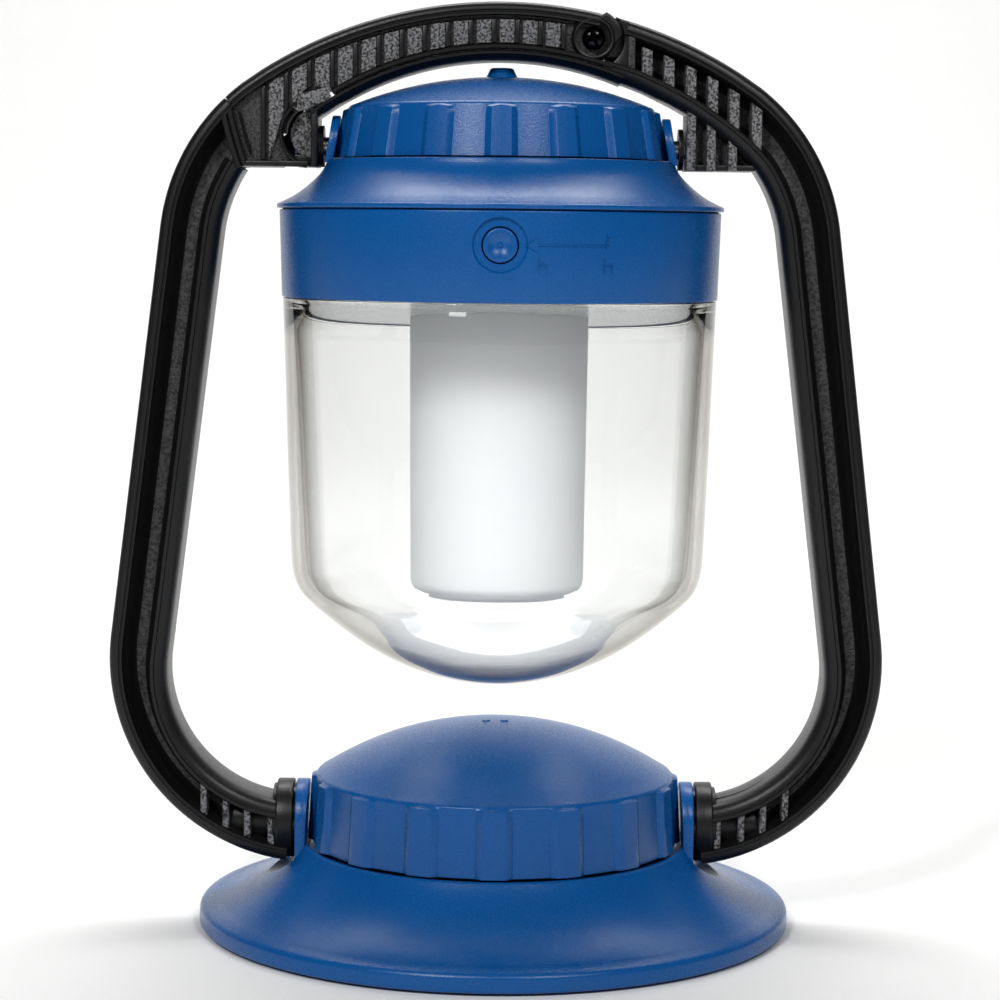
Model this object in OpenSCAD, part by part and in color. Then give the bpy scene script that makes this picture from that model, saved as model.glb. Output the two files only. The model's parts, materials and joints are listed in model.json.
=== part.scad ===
// Camping lantern: a lamp head hung in a carrying frame on a round foot.
// The origin is on the lamp's axis at the floor, +Z is up and the front faces -Y.

/* [Overall] */
// Height of the frame's top above the floor
frame_h = 247.4; // [206:0.1:300]
// Radius of the foot's rim
foot_r = 80; // [66:0.5:100]
// Radius of the globe where it meets the collar
globe_r = 58; // [48:0.5:70]
// Room for fingers between the globe and an arm
finger_room = 30.4; // [26:0.1:40]

/* [Frame] */
// Width of an arm, seen from the front
arm_w = 15.5; // [12:0.1:20]
// Depth of the frame, front to back
arm_depth = 20; // [16:0.5:24]
// Thickness of the arms' flanges
flange_t = 2.2; // [1.5:0.1:3]
// Thickness of the web between the flanges
web_t = 4; // [2:0.5:6]
// Radius of the frame's top
top_r = 118.15; // [110:0.05:130]
// Outer radius of the shoulders
shoulder_r = 55.6; // [50:0.1:60]
// Outer radius of the elbows above the foot
elbow_r = 55.2; // [48:0.1:60]
// Thickness of the band that the head hangs from
band_t = 2.5; // [2:0.1:4]
// Height of the frame over that band's lowest face
crown_t = 15.3; // [14:0.1:18]
// Distance of the gate's screw from the middle
gate_x = 24; // [20:0.5:30]
// Radius of the gate screw's shank
gate_pin_r = 1.5; // [1.2:0.1:2]

/* [Pivots] */
// Height of the foot's pivots above the floor
foot_pivot_z = 27.5; // [24:0.1:32]
// Radius of the steel pins in the foot's lugs
foot_pin_r = 3; // [2:0.1:4]
// Radius of the arm's collars at those pins
collar_r = 10.7; // [9:0.1:12]
// Drop from the frame's top to the head's pivots
head_drop = 38.1; // [36:0.1:44]
// Radius of the steel pins in the head's lugs
head_pin_r = 2.5; // [1.5:0.1:3.5]

/* [Head] */
// Top radius of the cap's castellated ring
cap_r = 42; // [38:0.1:46]
// Height of that ring
cap_ring_h = 12.8; // [10:0.1:16]
// Number of pads round the cap and round the foot's cover
pads = 16; // [8:1:24]
// Height of the collar below the bell
collar_h = 23.1; // [18:0.1:28]
// Radius of the power button's cap
button_r = 4.35; // [3:0.05:6]
// How far the button goes in
button_travel = 1.2; // [0.8:0.1:2]
// Room between the battery well and the frosted diffuser's outside
diffuser_room = 2.8; // [2:0.1:4]
// Radius of one cell
cell_r = 7.2; // [5.2:0.05:8]
// Thickness of the clear globe
globe_t = 3.2; // [2:0.1:4]

/* [Foot] */
// Lower radius of the cover's castellated ring
cover_r = 50.7; // [46:0.1:54]
// Height of the cover's top above the floor
cover_top = 55.1; // [50:0.1:60]
// Height of the rubber pads below the rim
pad_h = 0.8; // [0.5:0.1:2]

/* [Fits] */
// Room between curved faces that turn past each other
turn_gap = 0.35; // [0.3:0.05:0.6]
// Radial room of a steel pin in its bore
pin_gap = 0.05; // [0.02:0.01:0.1]
// Thickness of moulded walls
wall = 2.2; // [1.8:0.1:3]

/* [Hidden] */
$fn = 96;
blue = "#1d4f93";
black = "#222324";
steel = "#b9bcc0";
e = 0.01; // overlap that joins solids of one piece

// Frame: circles that make its outline
frame_half = globe_r + finger_room + arm_w;
top_c = [0, frame_h - top_r];
elbow_c = [frame_half - elbow_r, foot_pivot_z - collar_r + elbow_r];
shoulder_x = elbow_c[0] - 13.8; // the legs lean in towards the top
shoulder_c = [shoulder_x, top_c[1] + sqrt(pow(top_r - shoulder_r, 2) - pow(shoulder_x, 2))];
top_end = atan2(shoulder_c[1] - top_c[1], shoulder_c[0]);
lean = atan2(elbow_c[0] - shoulder_c[0], shoulder_c[1] - elbow_c[1]);
elbow_in_r = 35.3;
elbow_in_c = [frame_half - arm_w - elbow_in_r, foot_pivot_z - collar_r + arm_w + 1 + elbow_in_r];
block_z = frame_h - 43.7; // flat underside of the blocks beside the head
block_x = cap_r + 6.9; // faces of the blocks
band_r = 83;
band_c = [0, frame_h - crown_t - band_r];
gate_c = [gate_x, frame_h - 9.4];
gate_end_r = norm([gate_x + 69.8, 29.5]); // the gate's end is an arc about its screw
eye_r = 5.9;
eye_gap = 0.6;
swing_r = 8; // room that the gate's top corner sweeps
cheek_t = 3.8; // each of the gate's two cheeks
tongue_t = arm_depth - 2 * cheek_t - 0.6;
screw_recess_r = 4.7;
screw_head_r = 2.8;
catch_c = [-block_x - 0.5, frame_h - 35]; // boss that the gate's notch closes on
catch_r = 6.6;
notch_r = 8.2;
catch_front = 4; // the boss starts this far in front of the middle
plate_x = [-block_x - 1.3, -block_x + 0.5];

// Foot pivots
lug_in = cover_r + 0.4;
lug_out = lug_in + 2.7;
washer_t = 0.6;
collar_in = lug_out + washer_t;
collar_out = collar_in + 4.6;
pin_end = collar_out + 12;
valley_r = norm([collar_r, arm_depth / 2]) + turn_gap; // room that an arm's corners sweep

// Head, from its pivot
head_z = frame_h - head_drop;
cap_low = head_z - 3;
cap_high = cap_low + cap_ring_h;
cap_draft = 2.5; // the ring is this much wider at its foot
cap_dome = 8.7; // height of the dome above the ring
pad_t = 1.3; // depth of the pads over the ring's face
pad_lip = 0.3; // the pads end this far above the ring
let_in = 0.6; // a piece is sunk this deep in the one that carries it
bell_top = head_z - 3.5;
bell_low = head_z - 16.4;
lip_r = globe_r + 1.6;
neck_r = cap_r - 5.6;
bayonet = 1.6; // room round a neck for its bayonet lugs
lug_angles = [90, 210, 330]; // the bayonet lugs of the cap, the globe and the cover
lug_span = 24;
screw_angles = [45, 135, 225, 315];
pillar_r = lip_r - 9; // circle of the screws that join bell and collar
foot_screw_r = foot_r - 20;
tread_r = foot_r - 12; // circle of the rubber feet
neck_top = head_z + 7;
seam = 0.3;
collar_top = bell_low - seam;
collar_low = collar_top - collar_h;
collar_top_r = globe_r + 0.9;
collar_low_r = globe_r + 0.2;
collar_wall = 2.6;
collar_in_r = collar_low_r - collar_wall;
globe_top = collar_low - 0.3;
globe_low = cover_top + 10.5;
rim_r = collar_in_r - turn_gap - 1;
rim_top = collar_low + 6;
button_z = collar_low + 14.4;
button_face = -(globe_r + 0.4);
button_back = button_face + 7.1;
button_hole_r = button_r + turn_gap;
button_rim_r = button_hole_r + 0.5; // flange that keeps the button in
button_boss_r = button_hole_r + 2.7;
switch_tip = button_back + button_travel + 0.2;
pan_z = rim_top + 1.6; // underside of the reflector's flange
pan_low = collar_low + 0.2;
pan_t = 1.2;
pan_r = rim_r - 2.2 - 0.5;
well_low = collar_low - 4; // the battery well reaches down into the diffuser
cell_c = cell_r * sqrt(2) + 0.2; // the cells stand in a square
socket_r = cell_c + cell_r + 2.4; // inner radius of the battery well
diffuser_r = socket_r + pan_t + diffuser_room;
cell_h = 50.5;
cell_low = well_low + 3.8;
disc_r = 5.5;
lug_r = 7.4;
lug_t = 2.3;
lug_rise = 8.2; // the head's lugs end this far above the pivot
lug_foot_r = cap_r + cap_draft + turn_gap + 0.3; // inner face of a lug at its foot
lug_lean = 2.45; // a lug leans in by this much, as the cap's ring does
disc_in = cap_r + 5.1;

// Foot
rim_low = pad_h;
lip_foot = [cover_r + 1.6, 21.6];
flare_bend = 1.3755; // radius of the flare for each mm of its chord
well_out = cover_r - 5; // outer radius of the neck under the cover
well_r = well_out - wall;
well_floor = 6;
cover_low = 22.4;
cover_high = 40;
cover_draft = 1;

// ---- shared shapes ----

function arc(c, r, a0, a1, n) = [for (i = [0:n]) let (a = a0 + (a1 - a0) * i / n) c + r * [cos(a), sin(a)]];
function mirrored(pts) = [for (i = [len(pts) - 1:-1:0]) [-pts[i][0], pts[i][1]]];

// Outer edge of the frame from the top to the right collar
outer_edge = concat(
    arc(top_c, top_r, 90, top_end, 12),
    arc(shoulder_c, shoulder_r, top_end - 4, lean, 12),
    arc(elbow_c, elbow_r, lean, -88, 20)
);
// Inner edge of a leg, from the collar up to the block's underside
shoulder_in_r = shoulder_r - arm_w - 0.6;
inner_edge = concat(
    arc(elbow_in_c, elbow_in_r, -88, lean, 18),
    arc(shoulder_c, shoulder_in_r, lean, asin((block_z - shoulder_c[1]) / shoulder_in_r), 8)
);

// Draws a shape of the XZ plane as a plate, thick along Y and centred on y = 0
module plate(t, y = 0) {
    translate([0, y, 0])
        rotate([90, 0, 0])
            linear_extrude(t, center = true)
                children();
}

// Cylinder along X from x0 to x1
module rod_x(r, x0, x1, z = 0) {
    translate([x0, 0, z])
        rotate([0, 90, 0])
            cylinder(r = r, h = x1 - x0);
}

// Cylinder along Y from y0 to y1
module rod_y(r, y0, y1, at) {
    translate([at[0], y1, at[1]])
        rotate([90, 0, 0])
            cylinder(r = r, h = y1 - y0);
}

// Both sides of the lamp
module both_sides() {
    children();
    mirror([1, 0, 0])
        children();
}

// Block of the ring from r0 to r1 that fills an angle about `mid`
module sector(r0, r1, z0, z1, mid, width) {
    rotate(mid - width / 2)
        rotate_extrude(angle = width)
            translate([r0, z0])
                square([r1 - r0, z1 - z0]);
}

// Raised pads of a castellated ring with a leaning face, their upper corners cut back
module pad_ring(r_low, r_high, z0, z1, depth) {
    step = 360 / pads;
    shoulder = z1 - 3; // the pads are a little narrower above this height
    inner = r_high - depth;
    for (i = [0:pads - 1])
        rotate(i * step - step / 4) {
            rotate_extrude(angle = step / 2)
                polygon([
                    [r_low - depth, z0],
                    [r_low, z0],
                    [r_high + 0.2, shoulder],
                    [inner, shoulder],
                ]);
            rotate(1)
                rotate_extrude(angle = step / 2 - 2)
                    polygon([
                        [inner - 0.4, shoulder - 0.5],
                        [r_high - 0.1, shoulder - 0.5],
                        [r_high - 0.1, z1 - 1],
                        [r_high - 1.2, z1],
                        [inner - 0.4, z1],
                    ]);
        }
}

// Points of a dome's section from its edge to the axis, the edge at height z and radius r
function dome(r, z, h) =
    let (R = (r * r + h * h) / (2 * h), a = asin(r / R))
    [for (i = [0:8]) let (t = a * (1 - i / 8)) [R * sin(t), z + h - R + R * cos(t)]];

// Round wire wound into a spring, standing on z0
module coil(r, wire, z0, h, turns) {
    rings = 14 * turns;
    sides = 6;
    pts = [
        for (i = [0:rings])
            let (a = 360 * turns * i / rings, z = z0 + wire + (h - 2 * wire) * i / rings)
            for (k = [0:sides - 1])
                let (b = 360 * k / sides, q = r + wire * cos(b))
                [q * cos(a), q * sin(a), z + wire * sin(b)]
    ];
    skin = [
        for (i = [0:rings - 1], k = [0:sides - 1])
            let (n = (k + 1) % sides)
            [i * sides + k, i * sides + n, (i + 1) * sides + n, (i + 1) * sides + k]
    ];
    ends = [
        [for (k = [sides - 1:-1:0]) k],
        [for (k = [0:sides - 1]) rings * sides + k],
    ];
    polyhedron(points = pts, faces = concat(skin, ends));
}

// ---- frame ----

// The whole frame, gate included, as one flat shape
module frame_shape() {
    difference() {
        polygon(concat(mirrored(outer_edge), outer_edge, [[0, foot_pivot_z - collar_r]]));
        polygon(concat(mirrored(inner_edge), inner_edge));
        translate([-block_x, block_z - 1])
            square([2 * block_x, 1 + e]);
        intersection() {
            translate(band_c)
                circle(r = band_r);
            translate([-block_x, block_z - 5])
                square([2 * block_x, 60]);
        }
        translate([-collar_in - 2, 0])
            square([2 * collar_in + 4, elbow_in_c[1]]);
    }
}

// The band that runs under the gate and ends in the catch
module band_shape() {
    difference() {
        translate(band_c)
            circle(r = band_r + band_t);
        translate(band_c)
            circle(r = band_r);
        translate([-200, -200])
            square([400, 200 + block_z + 10]);
        translate([-200, 0])
            square([200 - block_x + 1, 300]);
        translate([block_x + 3, 0])
            square([200, 300]);
    }
}

module gate_disc(r) {
    translate(gate_c)
        circle(r = r);
}

module gate_shape() {
    difference() {
        union() {
            intersection() {
                frame_shape();
                gate_disc(gate_end_r);
                translate([-200, block_z - 5])
                    square([200 + gate_x, 100]);
            }
            gate_disc(eye_r);
            intersection() {
                frame_shape();
                gate_disc(swing_r - 0.4);
                translate([gate_x - 1, gate_c[1] + 5])
                    square([4, 10]);
            }
        }
        intersection() {
            translate(band_c)
                circle(r = band_r + band_t + 0.4);
            translate([-block_x + 0.4, 0])
                square([200, 300]);
        }
        translate([plate_x[0] - 0.5, 0])
            square([20, catch_c[1] + 5]);
        translate(catch_c)
            circle(r = notch_r);
        tab_shape(0.5);
        intersection() {
            difference() {
                gate_disc(gate_end_r - 2);
                gate_disc(gate_end_r - 3.6);
            }
            translate([-200, frame_h - 39.2])
                square([200, 10.2]);
        }
    }
}

// Thumb tab at the catch's tip
module tab_shape(grow = 0) {
    offset(delta = grow)
        polygon([
            catch_c + [-2.9, 5.6],
            catch_c + [3.2, 8.3],
            catch_c + [3.6, 11.4],
            catch_c + [-2.6, 9.4],
        ]);
}

module right_shape() {
    difference() {
        intersection() {
            frame_shape();
            translate([gate_x, 0])
                square([200, 300]);
        }
        gate_disc(eye_r + eye_gap);
        intersection() {
            gate_disc(swing_r);
            translate([0, gate_c[1] - 1])
                square([100, 100]);
        }
    }
}

module left_shape() {
    difference() {
        intersection() {
            frame_shape();
            translate([-200, 0])
                square([200, 300]);
        }
        gate_disc(gate_end_r + 0.4);
        translate([-block_x - 12, block_z - 3])
            square([100, 60]);
    }
}

// Rim of a shape, as wide as the flanges
module rim() {
    difference() {
        children();
        offset(delta = -flange_t)
            children();
    }
}

// Web that joins the flanges, let into them
module web() {
    plate(web_t)
        offset(delta = -1.2)
            children();
}

// Upright ribs inside a beam, from x0 to x1
module ribs(x0, x1, pitch, width, t, z0 = 0, z1 = 300) {
    count = floor((x1 - x0) / pitch);
    plate(t)
        intersection() {
            offset(delta = -0.8)
                children();
            for (i = [0:count])
                translate([x0 + i * pitch, z0])
                    square([width, z1 - z0]);
        }
}

// Collar and boss where an arm meets the foot
module arm_end() {
    difference() {
        union() {
            rod_x(collar_r, collar_in, collar_out, foot_pivot_z);
            rod_x(foot_pin_r + 3.2, collar_out - 1, pin_end + 1.5, foot_pivot_z);
        }
        translate([collar_in + 1.6, -arm_depth / 2 - 1, foot_pivot_z + 6.5])
            cube([10, arm_depth / 2 - 2, 10]);
    }
}

module pin_hole() {
    rod_x(foot_pin_r, collar_in - 1, pin_end, foot_pivot_z);
}

module leg_ribs() {
    ribs(collar_out + 2, collar_out + 22, 5.9, 1.8, arm_depth - 1, 0, 70)
        children();
}

module left_arm() {
    color(black)
        difference() {
            union() {
                plate(arm_depth)
                    rim()
                        left_shape();
                web()
                    left_shape();
                mirror([1, 0, 0])
                    leg_ribs()
                        mirror([1, 0])
                            left_shape();
                mirror([1, 0, 0])
                    arm_end();
            }
            mirror([1, 0, 0])
                pin_hole();
        }
}

module right_arm() {
    color(black)
        difference() {
            union() {
                difference() {
                    union() {
                        plate(arm_depth)
                            right_rims();
                        web()
                            right_shape();
                        ribs(gate_x + 13.7, block_x + 26, 5.9, 2.7, arm_depth - 2, block_z, 300)
                            right_shape();
                        leg_ribs()
                            right_shape();
                    }
                    both_cheeks()
                        translate([gate_x - 1, gate_c[1] - 6.4])
                            square([10.3, 20]);
                }
                plate(tongue_t)
                    gate_disc(eye_r);
                plate(tongue_t)
                    difference() {
                        translate([gate_x, gate_c[1] - 5])
                            square([10, 9]);
                        gate_disc(eye_r - 1);
                    }
                arm_end();
                catch_boss();
            }
            pin_hole();
            rod_y(gate_pin_r + pin_gap, -arm_depth, arm_depth, gate_c);
            rod_x(head_pin_r, block_x - 1, block_x + 14, head_z);
            rod_x(head_pin_r, -block_x - 6, -block_x + 1, head_z);
        }
}

// Everything of the right arm that is as deep as the frame
module right_rims() {
    rim()
        right_shape();
    band_shape();
    tab_shape();
    translate([plate_x[0], block_z - 0.2])
        square([plate_x[1] - plate_x[0], catch_c[1] + 8 - block_z]);
    // inner flange that carries the leg's line up to the band
    intersection() {
        difference() {
            translate(band_c)
                circle(r = band_r + band_t);
            translate(band_c)
                circle(r = band_r);
        }
        right_shape();
    }
}

// Space in front of and behind the tongue
module both_cheeks() {
    for (s = [-1, 1])
        plate(cheek_t + 0.3, s * (arm_depth - cheek_t - 0.3) / 2 * 1.001)
            children();
}

// Boss on the band's free tip that sits in the gate's notch
module catch_boss() {
    plate(arm_depth / 2 + catch_front, (arm_depth / 2 - catch_front) / 2)
        intersection() {
            translate(catch_c)
                circle(r = catch_r);
            translate([plate_x[0] - 20, 0])
                square([20.2, 300]);
        }
}

module gate() {
    color(black)
        difference() {
            union() {
                plate(arm_depth)
                    rim()
                        gate_shape();
                web()
                    gate_shape();
                ribs(-block_x - 18, gate_x - 7, 5.9, 3.7, arm_depth - 2, block_z, 300)
                    gate_shape();
                for (s = [-1, 1])
                    plate(cheek_t, s * (arm_depth - cheek_t) / 2)
                        gate_disc(eye_r);
            }
            // room for the tongue, the catch and the screw
            plate(tongue_t + 0.6)
                gate_disc(swing_r);
            plate(arm_depth / 2 + catch_front + 0.5, (arm_depth / 2 - catch_front - 0.5) / 2 + e)
                translate([catch_c[0] - notch_r - 0.6, block_z - 5])
                    square([30, catch_c[1] - block_z + 5]);
            rod_y(gate_pin_r, -arm_depth, arm_depth, gate_c);
            rod_y(screw_recess_r, -arm_depth, -arm_depth / 2 + 2.4, gate_c);
            rod_y(2.9, arm_depth / 2 - 2.2, arm_depth, gate_c);
        }
}

module gate_screw() {
    color(black)
        difference() {
            union() {
                rod_y(gate_pin_r, -arm_depth / 2 + 1, arm_depth / 2 - 0.4, gate_c);
                rod_y(screw_head_r, -arm_depth / 2 + 0.3, -arm_depth / 2 + 2.4, gate_c);
            }
            translate([gate_c[0], -arm_depth / 2, gate_c[1]])
                for (a = [0, 90])
                    rotate([0, a + 20, 0])
                        cube([3.4, 2.6, 0.7], center = true);
        }
}

module gate_nut() {
    color(steel)
        difference() {
            translate([gate_c[0], arm_depth / 2 - 0.6, gate_c[1]])
                rotate([90, 0, 0])
                    cylinder(r = 2.8, h = 1.6, $fn = 6);
            rod_y(gate_pin_r, 0, arm_depth, gate_c);
        }
}

module foot_pins() {
    color(steel)
        both_sides()
            rod_x(foot_pin_r, lug_in + 0.2, pin_end, foot_pivot_z);
}

module pivot_washers() {
    color(steel)
        both_sides()
            difference() {
                rod_x(collar_r - 1, lug_out + 0.05, collar_in, foot_pivot_z);
                rod_x(foot_pin_r, lug_out - 1, collar_in + 1, foot_pivot_z);
            }
}

module head_pins() {
    color(steel) {
        rod_x(head_pin_r, cap_r + cap_draft, block_x + 14, head_z);
        rod_x(head_pin_r, -block_x - 6, -cap_r - cap_draft, head_z);
    }
}

module pivot_discs() {
    color(black)
        both_sides()
            difference() {
                rod_x(disc_r, disc_in, block_x - 0.5, head_z);
                rod_x(head_pin_r, cap_r, block_x + 1, head_z);
            }
}

// ---- head ----

cap_core = cap_r - pad_t;

module head_cap() {
    inner = neck_r + bayonet;
    color(blue) {
        rotate_extrude()
            polygon(concat(
                [[inner, cap_low], [cap_core + cap_draft, cap_low]],
                [[cap_core + 0.2, cap_high - 0.2]],
                dome(cap_core - 0.4, cap_high + 0.5, cap_dome),
                [for (i = [8:-1:0]) dome(inner, cap_high - 0.5, cap_dome - 1.8)[i]]
            ));
        pad_ring(cap_r + cap_draft, cap_r, cap_low, cap_high + pad_lip, pad_t + let_in);
        translate([0, 0, cap_high + cap_dome - 0.4])
            cylinder(r1 = 4.2, r2 = 3, h = 3);
        for (a = lug_angles)
            sector(neck_r + turn_gap, inner + 0.4, cap_low + 0.3, cap_low + 2, a, lug_span);
    }
}

module cap_seal() {
    color(black)
        rotate_extrude()
            translate([neck_r - 0.5, neck_top - 1.8])
                circle(r = 0.9, $fn = 24);
}

// Plate inside the cap that joins the cells' upper ends
module cap_contact() {
    top = cell_low + cell_h + 0.3;
    color(steel)
        translate([0, 0, top])
            rotate_extrude()
                polygon([
                    [0, 0],
                    [cell_c + 3.4, 0],
                    [cell_c + 3.4, 0.5],
                    [3, 0.5],
                    [3, cap_high + cap_dome - wall - 0.4 - top],
                    [0, cap_high + cap_dome - wall - 0.4 - top],
                ]);
}

// Bell's outer section below the neck, from the shoulder to the lip
function bell_side(d) = [
    [cap_r + 4.4 - d, bell_top - d],
    [cap_r + 5.4 - d, bell_top - 1.6],
    [cap_r + 8.3 - d, bell_top - 5.4 - d * 0.4],
    [lip_r - 6.4 - d, bell_low + 4.4 - d * 0.9],
    [lip_r - 3 - d, bell_low + 2.1 - d * 0.9],
    [lip_r - 0.3 - d, bell_low + 1.2 - d * 0.9],
];

module bell_housing() {
    color(blue)
        difference() {
            union() {
                rotate_extrude()
                    polygon(concat(
                        [
                            [neck_r - wall, neck_top],
                            [neck_r - 0.6, neck_top],
                            [neck_r, neck_top - 0.6],
                            [neck_r, bell_top],
                        ],
                        bell_side(0),
                        [[lip_r, bell_low + 0.8], [lip_r, bell_low], [lip_r - wall - 2.8, bell_low]],
                        [for (i = [3:-1:0]) bell_side(wall)[i]],
                        [[neck_r - wall, bell_top - wall]]
                    ));
                for (a = lug_angles)
                    sector(neck_r - 0.2, neck_r + bayonet - turn_gap,
                        cap_low + 2.4, cap_low + 4.6, a, lug_span);
                for (a = screw_angles)
                    rotate(a)
                        translate([pillar_r, 0, bell_low])
                            cylinder(r = 3, h = 3.6);
                both_sides()
                    head_lug();
            }
            // groove for the O-ring
            rotate_extrude()
                translate([neck_r - 0.5, neck_top - 1.8])
                    circle(r = 0.92, $fn = 24);
            both_sides() {
                rod_x(head_pin_r + pin_gap, cap_r, disc_in + 2, head_z);
                rod_x(disc_r + turn_gap, disc_in - turn_gap, disc_in + 4, head_z);
            }
            for (a = screw_angles)
                rotate(a)
                    translate([pillar_r, 0, bell_low - 1])
                        cylinder(r = 1.2, h = 3.6);
        }
}

// Round-topped lug that stands beside the cap and leans in with its ring
module head_lug() {
    intersection() {
        rotate_extrude()
            polygon([
                [lug_foot_r, bell_top - 1],
                [lug_foot_r + lug_t, bell_top - 1],
                [lug_foot_r + lug_t - lug_lean, head_z + lug_rise],
                [lug_foot_r - lug_lean, head_z + lug_rise],
            ]);
        union() {
            rod_x(lug_r, 0, 80, head_z + 0.8);
            translate([0, -lug_r, bell_top - 2])
                cube([80, 2 * lug_r, head_z + 0.8 - bell_top + 2]);
        }
    }
}

module collar_ring() {
    color(blue)
        difference() {
            union() {
                rotate_extrude()
                    polygon([
                        [collar_top_r - collar_wall - 3.6, collar_top],
                        [collar_top_r - 0.5, collar_top],
                        [collar_top_r, collar_top - 0.5],
                        [collar_low_r, collar_low],
                        [collar_in_r, collar_low],
                        [collar_in_r, pan_z - 0.2],
                        [collar_in_r - 1.2, pan_z - 0.2],
                        [collar_in_r - 1.2, pan_z],
                        [collar_in_r, pan_z],
                        [collar_top_r - collar_wall, collar_top - 2],
                        [collar_top_r - collar_wall - 3.6, collar_top - 2],
                    ]);
                for (a = lug_angles)
                    sector(rim_r + turn_gap, collar_in_r + 0.3,
                        collar_low + 0.8, collar_low + 2.6, a, lug_span);
                for (a = screw_angles)
                    rotate(a)
                        translate([pillar_r, 0, collar_top - 4])
                            cylinder(r = 3, h = 4);
                // boss that guides the button
                intersection() {
                    rod_y(button_boss_r, button_face + 1.4, button_face + 6, [0, button_z]);
                    translate([-10, button_face, pan_z + pan_t + 0.3])
                        cube([20, 8, 20]);
                }
            }
            rod_y(button_hole_r, button_face - 4, button_face + 12, [0, button_z]);
            rod_y(button_hole_r + 2.3, button_face - 4, button_face + 0.6, [0, button_z]);
            for (a = screw_angles)
                rotate(a)
                    translate([pillar_r, 0, collar_top - 6])
                        cylinder(r = 1.5, h = 9);
        }
}

module housing_screws() {
    color(steel)
        for (a = screw_angles)
            rotate(a)
                translate([pillar_r, 0, collar_top - 6]) {
                    cylinder(r = 2.4, h = 2);
                    translate([0, 0, 1.9])
                        cylinder(r = 1.2, h = 6.6);
                }
}

module collar_gasket() {
    color(black)
        rotate_extrude()
            translate([collar_top_r - collar_wall - 3.2, collar_top])
                square([5, seam]);
}

// White pan that closes the head over the globe, with a well for the cells
module reflector_plate() {
    flange_r = collar_in_r - 0.4;
    color("white")
        difference() {
            rotate_extrude()
                polygon([
                    [socket_r, well_low],
                    [socket_r + pan_t, well_low],
                    [socket_r + pan_t, pan_low],
                    [pan_r, pan_low],
                    [pan_r, pan_z],
                    [flange_r, pan_z],
                    [flange_r, pan_z + pan_t],
                    [pan_r - pan_t, pan_z + pan_t],
                    [pan_r - pan_t, pan_low + pan_t],
                    [socket_r, pan_low + pan_t],
                ]);
            rod_y(button_rim_r + turn_gap, button_face, button_back + 1, [0, button_z]);
        }
}

module diffuser() {
    low = globe_low + 24.8;
    round_r = 4;
    low_r = diffuser_r - 0.7;
    corner = [low_r - round_r, low + round_r];
    skin = 1.5;
    color("#f4f6f8")
        rotate_extrude()
            polygon(concat(
                [[0, low], [corner[0], low]],
                arc(corner, round_r, -75, 0, 5),
                [[diffuser_r, pan_low - 0.02], [diffuser_r - skin, pan_low - 0.02]],
                arc(corner, round_r - skin, 0, -75, 5),
                [[corner[0], low + skin], [0, low + skin]]
            ));
}

module led_board() {
    color("white")
        translate([0, 0, well_low - 1.2])
            cylinder(r = socket_r + pan_t, h = 1.2 - e);
}

module leds() {
    color("#f6e27a")
        for (i = [0:5])
            rotate(i * 60)
                translate([12, 0, well_low - 1.6])
                    cube([5, 5, 0.8 - e], center = true);
}

module battery_holder() {
    color(black)
        difference() {
            translate([0, 0, well_low + 0.1])
                cylinder(r = socket_r - 0.3, h = 32);
            for (a = screw_angles)
                rotate(a) {
                    translate([cell_c, 0, well_low + 1.6])
                        cylinder(r = cell_r + 0.15, h = 60);
                    translate([cell_c + 4, -3, cell_low + 6])
                        cube([20, 6, 60]);
                }
        }
}

module battery_cells() {
    color("#c9a24a")
        for (a = screw_angles)
            rotate(a)
                translate([cell_c, 0, cell_low]) {
                    cylinder(r = cell_r, h = cell_h - 1.6);
                    translate([0, 0, cell_h - 1.7])
                        cylinder(r = 2.7, h = 1.7);
                }
}

module contact_springs() {
    color(steel)
        for (a = screw_angles)
            rotate(a)
                translate([cell_c, 0, 0])
                    coil(4, 0.3, well_low + 1.62, cell_low - well_low - 1.66, 2);
}

// Board that stands behind the button
module switch_board() {
    color("#2f7d4a")
        translate([-13, switch_tip + 4.1, button_z - 8])
            cube([26, 1.6, 15]);
}

module tact_switch() {
    color("#3a3a3c") {
        translate([-3, switch_tip + 0.6, button_z - 3])
            cube([6, 3.5, 6]);
        rod_y(1.7, switch_tip, switch_tip + 0.7, [0, button_z]);
    }
}

module lead_wires() {
    for (s = [-1, 1])
        color(s < 0 ? "#b02020" : "#202020")
            translate([s * 9, 0, 0]) {
                rod_y(0.7, switch_tip + 5.7, 3.2 - neck_r, [0, button_z + 3]);
            }
}

module power_button() {
    color(blue)
        difference() {
            union() {
                rod_y(button_r, button_face, button_face + 4.6, [0, button_z]);
                rod_y(button_r - 1, button_face + 4, button_back - 0.5, [0, button_z]);
                rod_y(button_rim_r, button_back - 1, button_back, [0, button_z]);
            }
            translate([0, button_face - 3.2, button_z])
                sphere(r = 4.2);
        }
}

module button_spring() {
    color(steel)
        translate([0, switch_tip + 0.55, button_z])
            rotate([90, 0, 0])
                coil(2.7, 0.25, 0, switch_tip + 0.5 - button_back, 2);
}

// ---- globe ----

// Globe's section at depth d inside its outer face, from the edge of the top to the axis
function globe_side(d) =
    let (
        z_side = globe_low + 33.1,
        cone_r = 37 - d * 0.6,
        cone_z = globe_low + 11.5 + d * 0.8
    )
    concat(
        [
            [globe_r - d, globe_top - d * 0.9],
            [globe_r - 1.7 - d, globe_low + 49.4],
            [globe_r - 2.4 - d, z_side],
            [globe_r - 4.7 - d * 0.95, globe_low + 25.6 + d * 0.3],
            [globe_r - 7.8 - d * 0.8, globe_low + 22.5 + d * 0.6],
        ],
        [for (p = dome(cone_r, 0, cone_z - globe_low - d)) [p[0], cone_z - p[1]]]
    );

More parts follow.
